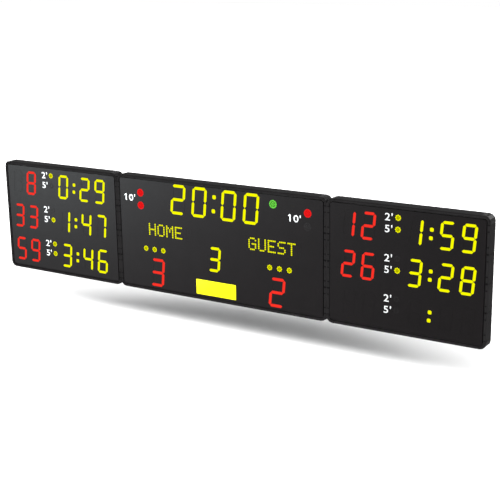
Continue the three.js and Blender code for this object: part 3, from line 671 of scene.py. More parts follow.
def add_turned(bm, profile, centre, axis, steps=32, material=0):
    """A turned shape: points of radius and height, spun about an axis through a point"""
    turn = UPWARD.rotation_difference(Vector(axis)).to_matrix().to_4x4()
    place = Matrix.Translation(centre) @ turn
    verts = [bm.verts.new(place @ Vector((radius, 0, height))) for radius, height in profile]
    edges = [bm.edges.new(pair) for pair in zip(verts, verts[1:])]
    before = set(bm.faces)
    bmesh.ops.spin(
        bm,
        geom=verts + edges,
        cent=centre,
        axis=axis,
        angle=2 * math.pi,
        steps=steps,
        use_merge=True,
    )
    new_faces = [face for face in bm.faces if face not in before]
    new_verts = dict.fromkeys(vert for face in new_faces for vert in face.verts)
    bmesh.ops.remove_doubles(bm, verts=list(new_verts), dist=SPIN_MERGE)
    paint(new_faces, material)


def add_disc(bm, centre, radius, thickness, sides=40):
    """A round plate that faces the front, half of it behind its centre"""
    place = Matrix.Translation(centre) @ UP_TO_FRONT
    bmesh.ops.create_cone(
        bm,
        cap_ends=True,
        segments=sides,
        radius1=radius - DISC_DRAFT,
        radius2=radius,
        depth=thickness,
        matrix=place,
    )


def add_lens(bm, centre, radius, height, material):
    """The domed front of one diode"""
    shoulder = (LENS_CROWN * radius, LENS_CROWN * height)
    add_turned(bm, [(0.0, height), shoulder, (radius, 0.0)], centre, TO_FRONT, LENS_STEPS, material)


def add_screw(bm, centre, axis, radius, material=0, cross=1):
    """A domed screw head on a washer, with a dark cross for its recess"""
    profile = [(share * radius, rise * radius) for share, rise in SCREW_PROFILE]
    add_turned(bm, profile, centre, axis, SCREW_STEPS, material)
    axis = Vector(axis)
    side = axis.orthogonal().normalized()
    other = axis.cross(side)
    top = Vector(centre) + axis * CROSS_RISE * radius
    for along, across in ((side, other), (other, side)):
        long, short = along * CROSS_REACH * radius, across * CROSS_HALF_WIDTH * radius
        outline = [top - long - short, top + long - short, top + long + short, top - long + short]
        add_prism(bm, outline, axis * CROSS_DEPTH * radius, material=cross)


def cut_corners(low_x, low_z, high_x, high_z, corner):
    """The outline of a rectangle with its corners cut off"""
    return [
        (low_x + corner, low_z),
        (high_x - corner, low_z),
        (high_x, low_z + corner),
        (high_x, high_z - corner),
        (high_x - corner, high_z),
        (low_x + corner, high_z),
        (low_x, high_z - corner),
        (low_x, low_z + corner),
    ]


# Displays


class Door:
    """The front of one door: its middle, its size and the body that it rides on"""

    def __init__(self, side):
        low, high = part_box(f"{side}_front_door")
        self.body = f"{side}_door"
        self.front = low.y
        self.width = high.x - low.x
        self.x = (low.x + high.x) / 2
        # The door's middle is the cabinet's, because its hinges stand above its upper edge
        self.z = (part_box(f"{side}_bottom_rail")[0].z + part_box(f"{side}_top_rail")[1].z) / 2
        self.height = 2 * (self.z - low.z)

    def at(self, across, up):
        """The x and z of a point given as shares of the door's width and height"""
        return self.x + across * self.width, self.z + up * self.height


def bar_outline(start, end, fixed, stroke, gap, upright):
    """A bar with pointed ends, lying or upright"""
    low, high, half = start + gap / 2, end - gap / 2, stroke / 2
    points = [
        (low, fixed),
        (low + half, fixed - half),
        (high - half, fixed - half),
        (high, fixed),
        (high - half, fixed + half),
        (low + half, fixed + half),
    ]
    return [(across, along) for along, across in reversed(points)] if upright else points


def row_rise(row):
    """The place of a penalty row, counted from the top, as a share of the door's height"""
    return ROW_SHIFT_SHARE + (1 - row) * ROW_PITCH_SHARE


class Display:
    """One display module: its windows and, by colour, the light bars and lamps in them"""

    def __init__(self, node, door):
        sizes = bpy.context.scene.board_sizes
        self.node = node
        self.door = door
        self.lean = math.tan(sizes.slant)
        self.bevel = sizes.bar_bevel
        self.windows = []
        self.extent = []
        self.bars = {}
        self.lamps = {}

    def digit(self, kind, x, z, text, colour):
        width, height, stroke, gap = DIGIT_SIZES[kind]
        half_width, half_height = (width - stroke) / 2, (height - stroke) / 2
        for name, (start, end, fixed, upright) in BAR_PLACES.items():
            along, across = (half_height, half_width) if upright else (half_width, half_height)
            points = bar_outline(start * along, end * along, fixed * across, stroke, gap, upright)
            outline = [(x + a + b * self.lean, z + b) for a, b in points]
            self.add_bar(outline, colour if name in LIT_BARS[text] else "unlit")

    def colon(self, x, z, sizes, colour):
        size, reach = sizes
        half = size / 2
        for rise in (reach, -reach):
            left, foot = x + rise * self.lean - half, z + rise - half
            right, top = x + rise * self.lean + half, z + rise + half
            self.add_bar(cut_corners(left, foot, right, top, COLON_CORNER_SHARE * half), colour)

    def lamp(self, x, z, radius, colour):
        self.lamps.setdefault(colour, []).append((x, z, radius))
        reach = radius * math.cos(math.pi / LAMP_WINDOW_SIDES)
        self.extent += [(x - reach, z - reach), (x + reach, z + reach)]

    def add_bar(self, outline, colour):
        self.bars.setdefault(colour, []).append(outline)
        self.extent += outline

    def close_window(self):
        xs, zs = zip(*self.extent)
        low = (min(xs) - WINDOW_MARGIN, min(zs) - WINDOW_MARGIN)
        high = (max(xs) + WINDOW_MARGIN, max(zs) + WINDOW_MARGIN)
        self.windows.append((low, high))
        self.extent = []

    def make(self):
        self.make_module()
        y = self.door.front
        for colour, outlines in self.bars.items():
            bm = bmesh.new()
            for outline in outlines:
                points = [(x, y + SHEET, z) for x, z in outline]
                add_prism(bm, points, TO_FRONT * (SHEET + BAR_PROUD), self.bevel)
            self.piece(f"{colour}_bars", bm, [f"{colour}_bar"])
        for colour, lamps in self.lamps.items():
            bm = bmesh.new()
            for x, z, radius in lamps:
                self.add_lamp(bm, x, z, radius)
            base = "bezel" if colour == "unlit" else f"{colour}_glow"
            self.piece(f"{colour}_lamps", bm, [base, f"{colour}_diode"], smooth_below=50)

    def piece(self, name, bm, finishes, **options):
        body = self.door.body
        return make_piece(f"{self.node}_{name}", bm, finishes, body, "filter_black", **options)

    def add_lamp(self, bm, x, z, radius):
        """A diffuser with a middle diode and rings of diodes that reach its full radius"""
        centre = Vector((x, self.door.front, z))
        add_disc(bm, centre, DIFFUSER_SHARE * radius, 2 * BAR_PROUD)
        for share, count, size in SMALL_RINGS if radius == SMALL_LAMP else LARGE_RINGS:
            for i in range(count):
                angle = 2 * math.pi * i / count
                spoke = Vector((math.cos(angle), 0, math.sin(angle)))
                spot = centre + share * radius * spoke
                add_lens(bm, spot, size * radius, BAR_PROUD + LENS_RISE, material=1)

    def make_module(self):
        """The board with its windows, chips and sockets, in place of the plain solid"""
        y = self.door.front
        back = y + SHEET + SEAT_GAP
        low_x = min(low[0] for low, _ in self.windows) - BOARD_MARGIN
        low_z = min(low[1] for low, _ in self.windows) - BOARD_MARGIN
        high_x = max(high[0] for _, high in self.windows) + BOARD_MARGIN
        high_z = max(high[1] for _, high in self.windows) + BOARD_MARGIN
        bm = bmesh.new()
        board_back = back + BOARD_THICKNESS
        add_block(bm, (low_x, back, low_z), (high_x, board_back, high_z), BOARD_BEVEL, material=1)
        for (x0, z0), (x1, z1) in self.windows:
            near = (x0 + WINDOW_GAP, y, z0 + WINDOW_GAP)
            add_block(bm, near, (x1 - WINDOW_GAP, back + SEAT_GAP, z1 - WINDOW_GAP))
            self.add_chips(bm, x0, x1, z0, z1, board_back)
        module = self.piece("module", bm, ["face", "board", "black", "steel"])
        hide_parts(self.node)

    def add_chips(self, bm, x0, x1, z0, z1, back):
        """The drivers with their pins, and a socket, on the back of a window's board"""
        count = max(1, round((x1 - x0) / DIGIT_SIZES["penalty"][0]))
        pin_pitch = 2 * CHIP_HALF_LENGTH / PINS_PER_CHIP
        reach, top = PIN_REACH_SHARE * CHIP_HALF_WIDTH, back + PIN_HEIGHT_SHARE * CHIP_HEIGHT
        z = z0 + CHIP_RISE_SHARE * (z1 - z0)
        for i in range(count):
            x = x0 + (i + 0.5) * (x1 - x0) / count
            self.add_box(bm, x, z, back, CHIP_HALF_LENGTH, CHIP_HALF_WIDTH, CHIP_HEIGHT, CHIP_BEVEL)
            for pin in range(PINS_PER_CHIP):
                left = x - CHIP_HALF_LENGTH + (pin + 0.5) * pin_pitch - PIN_WIDTH / 2
                add_block(bm, (left, back, z - reach), (left + PIN_WIDTH, top, z + reach), material=3)
        share_x, share_z = SOCKET_SHARES
        x, z = x0 + share_x * (x1 - x0), z0 + share_z * (z1 - z0)
        self.add_box(bm, x, z, back, SOCKET_HALF_WIDTH, SOCKET_HALF_HEIGHT, SOCKET_DEPTH, SOCKET_BEVEL)

    def add_box(self, bm, x, z, back, half_x, half_z, depth, bevel):
        """A black box that stands on the back of the board"""
        near, far = (x - half_x, back, z - half_z), (x + half_x, back + depth, z + half_z)
        add_block(bm, near, far, bevel, material=2)


class SCOREBOARD_OT_displays(bpy.types.Operator):
    """Make the penalty rows, clock, scores, period and lamps"""

    bl_idname = "scoreboard.displays"
    bl_label = "Displays"

    def execute(self, context):
        content = context.scene.board_content
        for side, rows in PENALTIES.items():
            self.penalty_rows(side, rows)
        self.clock(content)
        self.team("home", content.home_score)
        self.team("guest", content.guest_score)
        self.period(content)
        return {"FINISHED"}

    def penalty_rows(self, side, rows):
        """Rows of a number, a time and the lamps that are lit, from the top"""
        door = Door(side)
        minute = MINUTE_SHARES[side]
        numbers = Display(f"{side}_number_display", door)
        times = Display(f"{side}_time_display", door)
        units = minute - MINUTE_TO_NUMBER_SHARE
        tens = minute + MINUTE_TO_TENS_SHARE
        for i, (number, time, lit) in enumerate(rows):
            rise = row_rise(i)
            for share, text in zip((units - DIGIT_PITCH_SHARE, units), number):
                numbers.digit("penalty", *door.at(share, rise), text, "red")
            numbers.close_window()
            for share, text in zip((minute, tens, tens + DIGIT_PITCH_SHARE), time):
                times.digit("penalty", *door.at(share, rise), text, "yellow")
            times.colon(*door.at(minute + MINUTE_TO_COLON_SHARE, rise), SMALL_COLON, "yellow")
            x, z = door.at(minute - MINUTE_TO_LAMP_SHARE, rise)
            upper = z + UPPER_LAMP_SHARE * DIGIT_SIZES["penalty"][1]
            times.lamp(x, upper, SMALL_LAMP, "yellow" if "2" in lit else "unlit")
            times.lamp(x, z, SMALL_LAMP, "yellow" if "5" in lit else "unlit")
            times.close_window()
        numbers.make()
        times.make()

    def clock(self, content):
        door = Door("centre")
        strip = Display("clock_display", door)
        height = DIGIT_SIZES["clock"][1]
        z = door.z + door.height / 2 - CLOCK_TOP_CLEARANCE - height / 2
        for share, text in zip(CLOCK_DIGIT_SHARES, content.clock):
            strip.digit("clock", door.at(share, 0)[0], z, text, "yellow")
        strip.colon(door.at(CLOCK_COLON_SHARE, 0)[0], z, LARGE_COLON, "yellow")
        strip.close_window()
        for share, lamps in CLOCK_LAMPS:
            for rise, colour in lamps:
                strip.lamp(door.at(share, 0)[0], z + rise * height, LARGE_LAMP, colour)
            strip.close_window()
        strip.make()

    def team(self, team, text):
        door = Door("centre")
        display = Display(f"{team}_score_display", door)
        for i in (-1, 0, 1):
            share = TIMEOUT_SHARES[team] + i * TIMEOUT_PITCH_SHARE
            display.lamp(*door.at(share, TIMEOUT_RISE_SHARE), SMALL_LAMP, "yellow")
        display.digit("score", *door.at(SCORE_SHARES[team], SCORE_RISE_SHARE), text, "red")
        display.close_window()
        display.make()

    def period(self, content):
        door = Door("centre")
        display = Display("period_display", door)
        display.digit("period", *door.at(PERIOD_SHARE, PERIOD_RISE_SHARE), content.period, "yellow")
        display.close_window()
        display.make()


class SCOREBOARD_OT_names(bpy.types.Operator):
    """Make the two dot-matrix name displays"""

    bl_idname = "scoreboard.names"
    bl_label = "Name displays"

    def execute(self, context):
        content = context.scene.board_content
        door = Door("centre")
        for team, word in (("home", content.home_name), ("guest", content.guest_name)):
            x, z = door.at(NAME_SHARES[team], NAME_RISE_SHARE)
            left = x - NAME_COLUMNS * NAME_PITCH / 2
            top = z + NAME_ROWS * NAME_PITCH / 2
            display = Display(f"{team}_name_display", door)
            display.extent = [(left, top), (2 * x - left, 2 * z - top)]
            display.close_window()
            display.make_module()
            self.dots(display, left, top, self.lit_dots(word), context.scene.board_sizes.dot_radius)
        return {"FINISHED"}

    def lit_dots(self, word):
        """The columns and rows of the dots that spell a word in the middle of the field"""
        letter_pitch = len(DOT_LETTERS["E"][0]) + 1
        first = (NAME_COLUMNS - letter_pitch * len(word) + 1) // 2
        lit = set()
        for i, letter in enumerate(word):
            for row, dots in enumerate(DOT_LETTERS[letter]):
                lit |= {(first + letter_pitch * i + k, row) for k, dot in enumerate(dots) if dot == "1"}
        return lit

    def dots(self, display, left, top, lit, radius):
        meshes = {"yellow": bmesh.new(), "unlit": bmesh.new()}
        for column in range(NAME_COLUMNS):
            for row in range(NAME_ROWS):
                bm = meshes["yellow" if (column, row) in lit else "unlit"]
                x, z = left + (column + 0.5) * NAME_PITCH, top - (row + 0.5) * NAME_PITCH
                add_disc(bm, (x, display.door.front, z), radius, 2 * BAR_PROUD, sides=12)
        for colour, bm in meshes.items():
            display.piece(f"{colour}_dots", bm, [f"{colour}_diode"])


class SCOREBOARD_OT_labels(bpy.types.Operator):
    """Print the white minutes beside the lamps"""

    bl_idname = "scoreboard.labels"
    bl_label = "Labels"

    def execute(self, context):
        lamp_rise = UPPER_LAMP_SHARE * DIGIT_SIZES["penalty"][1]
        sizes = context.scene.board_sizes
        for side, rows in PENALTIES.items():
            door = Door(side)
            for i in range(len(rows)):
                x, z = door.at(MINUTE_SHARES[side] - MINUTE_TO_LABEL_SHARE, row_rise(i))
                name = f"{side}_row_{i + 1}"
                self.label(f"{name}_upper_label", "2'", x, z + lamp_rise, door, sizes.label_stretch)
                self.label(f"{name}_lower_label", "5'", x, z, door, sizes.label_stretch)
        door = Door("centre")
        for team, shares in LAMP_LABEL_SHARES.items():
            self.label(f"{team}_lamp_label", "10'", *door.at(*shares), door, sizes.wide_label_stretch)
        return {"FINISHED"}

    def label(self, name, text, x, z, door, stretch):
        """Text made a mesh, then scaled to its height and set on the door"""
        sizes = bpy.context.scene.board_sizes
        curve = bpy.data.curves.new(f"{name}_text", "FONT")
        curve.body = text
        curve.offset = LETTER_WEIGHT
        curve.space_character = LETTER_SPACING
        curve.extrude = LETTER_THICKNESS
        curve.resolution_u = LETTER_CURVE_STEPS
        source = new_object(f"{name}_text", curve)
        bpy.context.view_layer.update()
        shaped = source.evaluated_get(bpy.context.evaluated_depsgraph_get())
        mesh = bpy.data.meshes.new_from_object(shaped)
        bm = bmesh.new()
        bm.from_mesh(mesh)
        bpy.data.objects.remove(source)
        bpy.data.curves.remove(curve)
        bpy.data.meshes.remove(mesh)
        xs = [vert.co.x for vert in bm.verts]
        ys = [vert.co.y for vert in bm.verts]
        scale = sizes.label_height / (max(ys) - min(ys))
        middle = Vector(((min(xs) + max(xs)) / 2, (min(ys) + max(ys)) / 2, 0))
        place = (
            Matrix.Translation((x, door.front, z))
            @ UP_TO_FRONT
            @ Matrix.Diagonal((scale * stretch, scale, scale, 1.0))
            @ Matrix.Translation(-middle)
        )
        bmesh.ops.transform(bm, matrix=place, verts=bm.verts)
        bmesh.ops.remove_doubles(bm, verts=bm.verts, dist=TEXT_MERGE)
        if text.startswith("1"):
            self.flag(bm, sizes.label_height)
        make_piece(name, bm, ["print"], door.body, "filter_black")

    def flag(self, bm, height):
        """The slanted stroke of a 1, because the font's own is a plain bar"""
        left = min(vert.co.x for vert in bm.verts)
        top = max(vert.co.z for vert in bm.verts)
        near, far = min(vert.co.y for vert in bm.verts), max(vert.co.y for vert in bm.verts)
        reach, stroke = FLAG_REACH_SHARE * height, FLAG_STROKE_SHARE * height
        lap = FLAG_LAP_SHARE * height
        tip, drop, rise = 0.3 * lap, 0.8 * reach, 0.1 * reach
        outline = [
            (left + lap, top),
            (left + tip, top),
            (left - reach, top - drop),
            (left - reach, top - drop - stroke),
            (left + lap, top - rise - stroke),
        ]
        points = [(x, far - FLAG_INSET, z) for x, z in outline]
        add_prism(bm, points, TO_FRONT * (far - near - 2 * FLAG_INSET))


class SCOREBOARD_OT_plate(bpy.types.Operator):
    """Make the bare yellow plate at the bottom of the centre door"""

    bl_idname = "scoreboard.plate"
    bl_label = "Plate"

    def execute(self, context):
        low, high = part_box("name_plate")
        bm = bmesh.new()
        outline = cut_corners(low.x, low.z, high.x, high.z, PLATE_CORNER)
        points = [(x, high.y, z) for x, z in outline]
        add_prism(bm, points, TO_FRONT * (high.y - low.y), PLATE_BEVEL)
        plate = make_piece("bare_plate", bm, ["plate"], "centre_door", "plate_yellow", smooth_below=30)
        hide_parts("name_plate")
        return {"FINISHED"}


class SCOREBOARD_OT_shade_clips(bpy.types.Operator):
    """Set black clips in the gaps of the ribs: painted shade, dark inserts where deep slots would lie in
    shade
    """

    bl_idname = "scoreboard.clips"
    bl_label = "Clips"

    def execute(self, context):
        for side in SIDES:
            for end in ("left", "right"):
                node = f"{side}_{end}_column"
                bm = bmesh.new()
                for low, high in self.gaps(node):
                    self.clip(bm, node, end, low + SHADE_CLIP_ROOM, high - SHADE_CLIP_ROOM)
                make_piece(f"{node}_clips", bm, ["clip"], "frame", "black_plastic")
        return {"FINISHED"}

    def gaps(self, node):
        """The lowest and highest point of each gap in a column's rib"""
        low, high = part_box(node)
        pitch = (high.z - low.z) / MODULES_PER_COLUMN
        for i in range(MODULES_PER_COLUMN + 1):
            joint = low.z + i * pitch
            yield max(low.z, joint - JOINT_GAP / 2), min(high.z, joint + JOINT_GAP / 2)
            for notch in (joint - NOTCH_INSET, joint + NOTCH_INSET):
                if low.z < notch < high.z:
                    yield notch - NOTCH_WIDTH / 2, notch + NOTCH_WIDTH / 2

    def clip(self, bm, node, end, low_z, high_z):
        low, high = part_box(node)
        near, far = RIB_OFFSET + SHADE_CLIP_ROOM, RIB_OFFSET + RIB_WIDTH - SHADE_CLIP_ROOM
        xs = (low.x + near, low.x + far) if end == "left" else (high.x - far, high.x - near)
        top, foot = low.y + SHADE_CLIP_SINK_SHARE * RIB_RISE, low.y + RIB_RISE + SEAT_GAP
        add_block(bm, (xs[0], top, low_z), (xs[1], foot, high_z), SHADE_CLIP_BEVEL)


class SCOREBOARD_OT_fittings(bpy.types.Operator):
    """Make the hinge rods and the quarter-turn latches"""

    bl_idname = "scoreboard.fittings"
    bl_label = "Hinges and latches"

    def execute(self, context):
        for side in SIDES:
            self.rod(f"{side}_hinge_rod")
            for i in (1, 2):
                self.latch(f"{side}_latch_{i}")
        return {"FINISHED"}

    def rod(self, node):
        """A round rod as wide as the corners of the solid's eight sides, with chamfered ends"""
        low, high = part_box(node)
        sides, chamfer_share = 8, 0.3
        radius = (high.z - low.z) / (2 * math.cos(math.pi / sides))
        length = high.x - low.x
        chamfer = chamfer_share * radius
        profile = [
            (0.0, 0.0),
            (radius - chamfer, 0.0),
            (radius, chamfer),
            (radius, length - chamfer),
            (radius - chamfer, length),
            (0.0, length),
        ]
        bm = bmesh.new()
        start = (low.x, (low.y + high.y) / 2, (low.z + high.z) / 2)
        add_turned(bm, profile, start, (1, 0, 0), steps=20)
        rod = make_piece(f"{node}_round", bm, ["dark_steel"], "frame", "bare_steel", smooth_below=35)
        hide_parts(node)

    def latch(self, node):
        """A slotted head, a round shaft and a cam with a rounded tip"""
        low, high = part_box(node)
        head, shaft, thickness, cam_height, slot = 0.009, 0.004, 0.003, 0.004, 0.0025
        centre = Vector(((low.x + high.x) / 2, high.y - head, low.z))
        height = high.z - low.z
        groove, collar, rounding = 0.0012, 1.4 * shaft, 0.0004
        profile = [
            (0.0, groove),
            (head, groove),
            (head, thickness),
            (shaft, thickness),
            (shaft, height - cam_height),
            (collar, height - cam_height),
            (collar, height - rounding),
            (collar - rounding, height),
            (0.0, height),
        ]
        bm = bmesh.new()
        add_turned(bm, profile, centre, UPWARD)
        for side in (1, -1):
            self.half_head(bm, centre, side, slot / 2, head, groove)
        self.cam(bm, centre, height - cam_height, cam_height, shaft, centre.y - low.y)
        latch = make_piece(f"{node}_turned", bm, ["steel"], f"{node}_body", "bare_steel", smooth_below=35)
        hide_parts(node)

    def half_head(self, bm, centre, side, half_slot, radius, groove):
        """One of the two lands beside the slot"""
        steps = 14
        start = math.asin(half_slot / radius)
        outline = []
        for i in range(steps + 1):
            angle = start + (math.pi - 2 * start) * i / steps
            x, y = side * radius * math.sin(angle), radius * math.cos(angle)
            outline.append(centre + Vector((x, y, groove)))
        add_prism(bm, outline, (0, 0, -groove), bevel=0.0004)

    def cam(self, bm, centre, start, height, half_width, reach):
        """A flat arm from the shaft to a half-round tip"""
        steps = 10
        outline = [centre + Vector((half_width, 0, start)), centre + Vector((-half_width, 0, start))]
        for i in range(steps + 1):
            angle = math.pi * i / steps
            x, y = -half_width * math.cos(angle), -half_width * math.sin(angle)
            outline.append(centre + Vector((x, y + half_width - reach, start)))
        add_prism(bm, outline, (0, 0, height), bevel=0.0005)


class SCOREBOARD_OT_equipment(bpy.types.Operator):
    """Make the fine parts of the supplies, the controller and the horn"""

    bl_idname = "scoreboard.equipment"
    bl_label = "Equipment"

    def execute(self, context):
        for side in SIDES:
            self.case_details(f"{side}_power_supply", vent_rows=5, vent_share=0.32)
        self.case_details("controller", vent_rows=3, vent_share=0.5)
        self.sockets()
        self.horn()
        return {"FINISHED"}

    def case_details(self, node, vent_rows, vent_share):
        """Vents, a terminal block and the screws of the ears of one case"""
        low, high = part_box(node)
        ear, ear_thickness, ear_screw, ear_screw_shares = 0.014, 0.003, 0.003, (0.36, 0.64)
        bm = bmesh.new()
        left, right = low.x + ear, high.x - ear
        pitch, length, width, proud, bevel = 0.009, 0.030, 0.003, 0.0004, 0.0002
        margin_share, field_share, least_pitch = 0.1, 0.8, length * 1.25
        columns = int((right - left) * field_share // least_pitch)
        for column in range(columns):
            start = left + margin_share * (right - left)
            x = start + (column + 0.5) * field_share * (right - left) / columns
            for row in range(vent_rows):
                z = low.z + (1 - vent_share) * (high.z - low.z) + (row - vent_rows / 2) * pitch
                near = (x - length / 2, low.y - proud, z)
                add_block(bm, near, (x + length / 2, low.y + proud, z + width), bevel, 1)
        self.terminals(bm, left, low)
        for x in (low.x + ear / 2, high.x - ear / 2):
            for share in ear_screw_shares:
                spot = (x, high.y - ear_thickness, low.z + share * (high.z - low.z))
                add_screw(bm, spot, TO_FRONT, ear_screw, material=3)
        finishes = ["case", "black", "green_block", "steel"]
        make_piece(f"{node}_details", bm, finishes, "frame", "case_metal", smooth_below=35)

    def terminals(self, bm, left, low):
        """A block of screw terminals on the case's front, near its bottom"""
        count, pitch, height, depth, bevel, screw = 7, 0.011, 0.016, 0.010, 0.0008, 0.0024
        rise, inset = 0.006, 0.012
        z = low.z + rise
        start = left + inset
        near, far = (start, low.y - depth, z), (start + count * pitch, low.y + SEAT_GAP, z + height)
        add_block(bm, near, far, bevel, 2)
        for i in range(count):
            spot = (start + (i + 0.5) * pitch, low.y - depth, z + height / 2)
            add_screw(bm, spot, TO_FRONT, screw, material=3)

    def sockets(self):
        """A row of plug sockets on the controller's front"""
        low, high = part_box("controller")
        bm = bmesh.new()
        count, size, depth, wall, pitch = 4, 0.016, 0.011, 0.0012, 0.024
        inset, rise, rise_share, proud, bevel = 0.03, 0.02, 0.62, 0.0002, 0.0008
        z = low.z + rise_share * (high.z - low.z) + rise
        for i in range(count):
            x = high.x - inset - i * pitch
            near, far = (x - size, low.y - depth, z - size / 2), (x, low.y + SEAT_GAP, z + size / 2)
            add_block(bm, near, far, bevel)
            inner_low = (x - size + wall, low.y - depth - proud, z - size / 2 + wall)
            add_block(bm, inner_low, (x - wall, low.y - depth + wall, z + size / 2 - wall), material=1)
        make_piece("controller_sockets", bm, ["black", "rubber"], "frame", "case_metal")

    def horn(self):
        """A flared horn on a round flange, with a cone and a cross of ribs in its mouth"""
        low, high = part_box("horn")
        radius = (high.x - low.x) / 2
        depth = high.y - low.y
        wall, throat, neck, flare, steps = 0.004, 0.030, 0.45 * depth, 1.6, 8
        outer, inner = [], []
        for i in range(steps + 1):
            share = i / steps
            bell = throat + (radius - throat) * share**flare
            height = depth * (0.5 + 0.5 * share)
            outer.append((bell, height))
            inner.append((bell - wall, height))
        profile = [(0.0, 0.0), (radius, 0.0), (radius, wall), (throat, wall), (throat, neck)]
        profile += outer + inner[::-1] + [(0.0, depth * 0.5)]
        centre = Vector(((low.x + high.x) / 2, high.y, (low.z + high.z) / 2))
        bm = bmesh.new()
        add_turned(bm, profile, centre, TO_FRONT, steps=48)
        cone = [(around, share * depth) for around, share in HORN_CONE]
        add_turned(bm, cone, centre, TO_FRONT, steps=24)
        rib, rim, rib_depth, rib_share = 0.0012, 0.6 * radius, 0.004, 0.72
        y = centre.y - rib_share * depth
        for half_x, half_z in ((rim, rib), (rib, rim)):
            near = (centre.x - half_x, y, centre.z - half_z)
            add_block(bm, near, (centre.x + half_x, y + rib_depth, centre.z + half_z))
        horn = make_piece("horn_bell", bm, ["black"], "frame", "black_plastic", smooth_below=40)
        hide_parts("horn")


class SCOREBOARD_OT_entry(bpy.types.Operator):
    """Make the cable gland under the centre cabinet"""

    bl_idname = "scoreboard.entry"
    bl_label = "Mains entry"

    def execute(self, context):
        low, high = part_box("cable_gland")
        centre = Vector(((low.x + high.x) / 2, (low.y + high.y) / 2, low.z))
        height = high.z - low.z
        bore, body, nut, nut_thickness, neck, seat = 0.006, 0.011, 0.014, 0.005, 0.009, 0.016
        taper, taper_height, steps = 0.82 * body, 0.0025, 36
        cap = [
            (bore, 0.0),
            (taper, 0.0),
            (body, taper_height),
            (body, seat - nut_thickness),
            (neck, seat - nut_thickness),
            (neck, height),
            (bore, height),
            (bore, 0.0),
        ]
        bm = bmesh.new()
        add_turned(bm, cap, centre, UPWARD, steps)
        lip, lip_rise, edge_rise, seal_top = bore - 0.001, 0.0006, 0.0004, 0.012
        seal = [(lip, lip_rise), (bore, edge_rise), (bore, seal_top), (lip, seal_top), (lip, lip_rise)]
        add_turned(bm, seal, centre, UPWARD, steps, material=1)
        self.hexagon(bm, centre + UPWARD * (seat - nut_thickness), nut, nut_thickness, neck)
        finishes = ["black", "rubber"]
        gland = make_piece("hexagon_gland", bm, finishes, "frame", "black_plastic", smooth_below=35)
        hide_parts("cable_gland")
        return {"FINISHED"}

    def hexagon(self, bm, centre, radius, thickness, bore):
        """A nut with six flats round a bore, as a ring of two loops pushed up"""
        steps, flats = 36, 6
        half_flat = math.pi / flats
        inner, outer = [], []
        for i in range(steps):
            angle = 2 * math.pi * i / steps
            flat = radius * math.cos(half_flat) / math.cos(angle % (2 * half_flat) - half_flat)
            spoke = Vector((math.cos(angle), math.sin(angle), 0))
            outer.append(bm.verts.new(centre + spoke * flat))
            inner.append(bm.verts.new(centre + spoke * bore))
        loops = []
        for loop in (outer, inner):
            loops += [bm.edges.new((loop[i], loop[(i + 1) % steps])) for i in range(steps)]
        push(bm, bmesh.ops.bridge_loops(bm, edges=loops)["faces"], (0, 0, thickness))


class SCOREBOARD_OT_back(bpy.types.Operator):
    """Screw the rear sheets to the frames, evenly along their edges"""

    bl_idname = "scoreboard.back"
    bl_label = "Back"

    def execute(self, context):
        sizes = context.scene.board_sizes
        for side in SIDES:
            low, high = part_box(f"{side}_rear_panel")
            bm = bmesh.new()
            for x, z in self.along_edges(low, high, sizes.screw_pitch):
                if self.clear_of_rails(z, 2 * sizes.screw_radius):
                    add_screw(bm, (x, high.y, z), (0, 1, 0), sizes.screw_radius)
            name = f"{side}_rear_screws"
            make_piece(name, bm, ["steel", "black"], "frame", "bare_steel", smooth_below=35)
        return {"FINISHED"}

    def clear_of_rails(self, z, room):
        """Whether a screw at this height misses the wall rails"""
        boxes = [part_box(f"{level}_wall_rail") for level in ("upper", "lower")]
        return all(z < low.z - room or z > high.z + room for low, high in boxes)

    def along_edges(self, low, high, pitch):
        """Even places along the four edges, clear of the rounded corners"""
        edges_x = (low.x + SCREW_INSET, high.x - SCREW_INSET)
        edges_z = (low.z + SCREW_INSET, high.z - SCREW_INSET)
        spots = []
        for start, end, levels, upright in (
            (low.x + SCREW_CORNER, high.x - SCREW_CORNER, edges_z, False),
            (low.z + SCREW_CORNER, high.z - SCREW_CORNER, edges_x, True),
        ):
            count = math.ceil((end - start) / pitch)
            for i in range(count + 1):
                along = start + (end - start) * i / count
                spots += [(level, along) if upright else (along, level) for level in levels]
        return spots


class SCOREBOARD_OT_finishes(bpy.types.Operator):
    """Give every solid of the board its finish"""

    bl_idname = "scoreboard.finishes"
    bl_label = "Finishes"

    def execute(self, context):
        for name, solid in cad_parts.items():
            fitting = [finish for finish, endings in SOLID_FINISHES.items() if name.endswith(endings)]
            if not fitting:
                raise RuntimeError(f"no finish for {name}")
            solid.data.materials.clear()
            solid.data.materials.append(board_finishes()[fitting[0]])
        return {"FINISHED"}


# Stage

# How light the floor is to the camera, and to the light that it throws back
FLOOR_TONE = 0.70
FLOOR_BOUNCE = 0.31
FLOOR_HALF_SIZE = 60.0

# How far the camera sees, and how strongly the white background lights the board
CAMERA_REACH = 200.0
WORLD_LIGHT = 0.17

# Suns: azimuth from the front, elevation, strength and spread, with angles in degrees
BOARD_SUNS = {
    "overhead_150": (150, 60, 0.72, 24),
    "overhead_180": (180, 60, 0.72, 24),
    "overhead_210": (210, 60, 0.72, 24),
    "front_fill": (25, 6, 1.7, 40),
}
CORNER_GLEAM = (165.7, 19.7, 0.19, 4)

# Soft boxes: place, aim, width and height, power; their spread in degrees
SOFT_BOXES = {
    "left_soft_box": ((-4.6, -3.3, -0.25), (-1.9, -0.13, -0.40), (2.2, 1.4), 54),
    "upper_soft_box": ((-0.9, -2.6, 1.0), (-0.2, -0.13, -0.2), (2.6, 0.8), 42),
}
SOFT_BOX_TINT = (0.88, 0.98, 1.0)
SOFT_BOX_SPREAD = 110

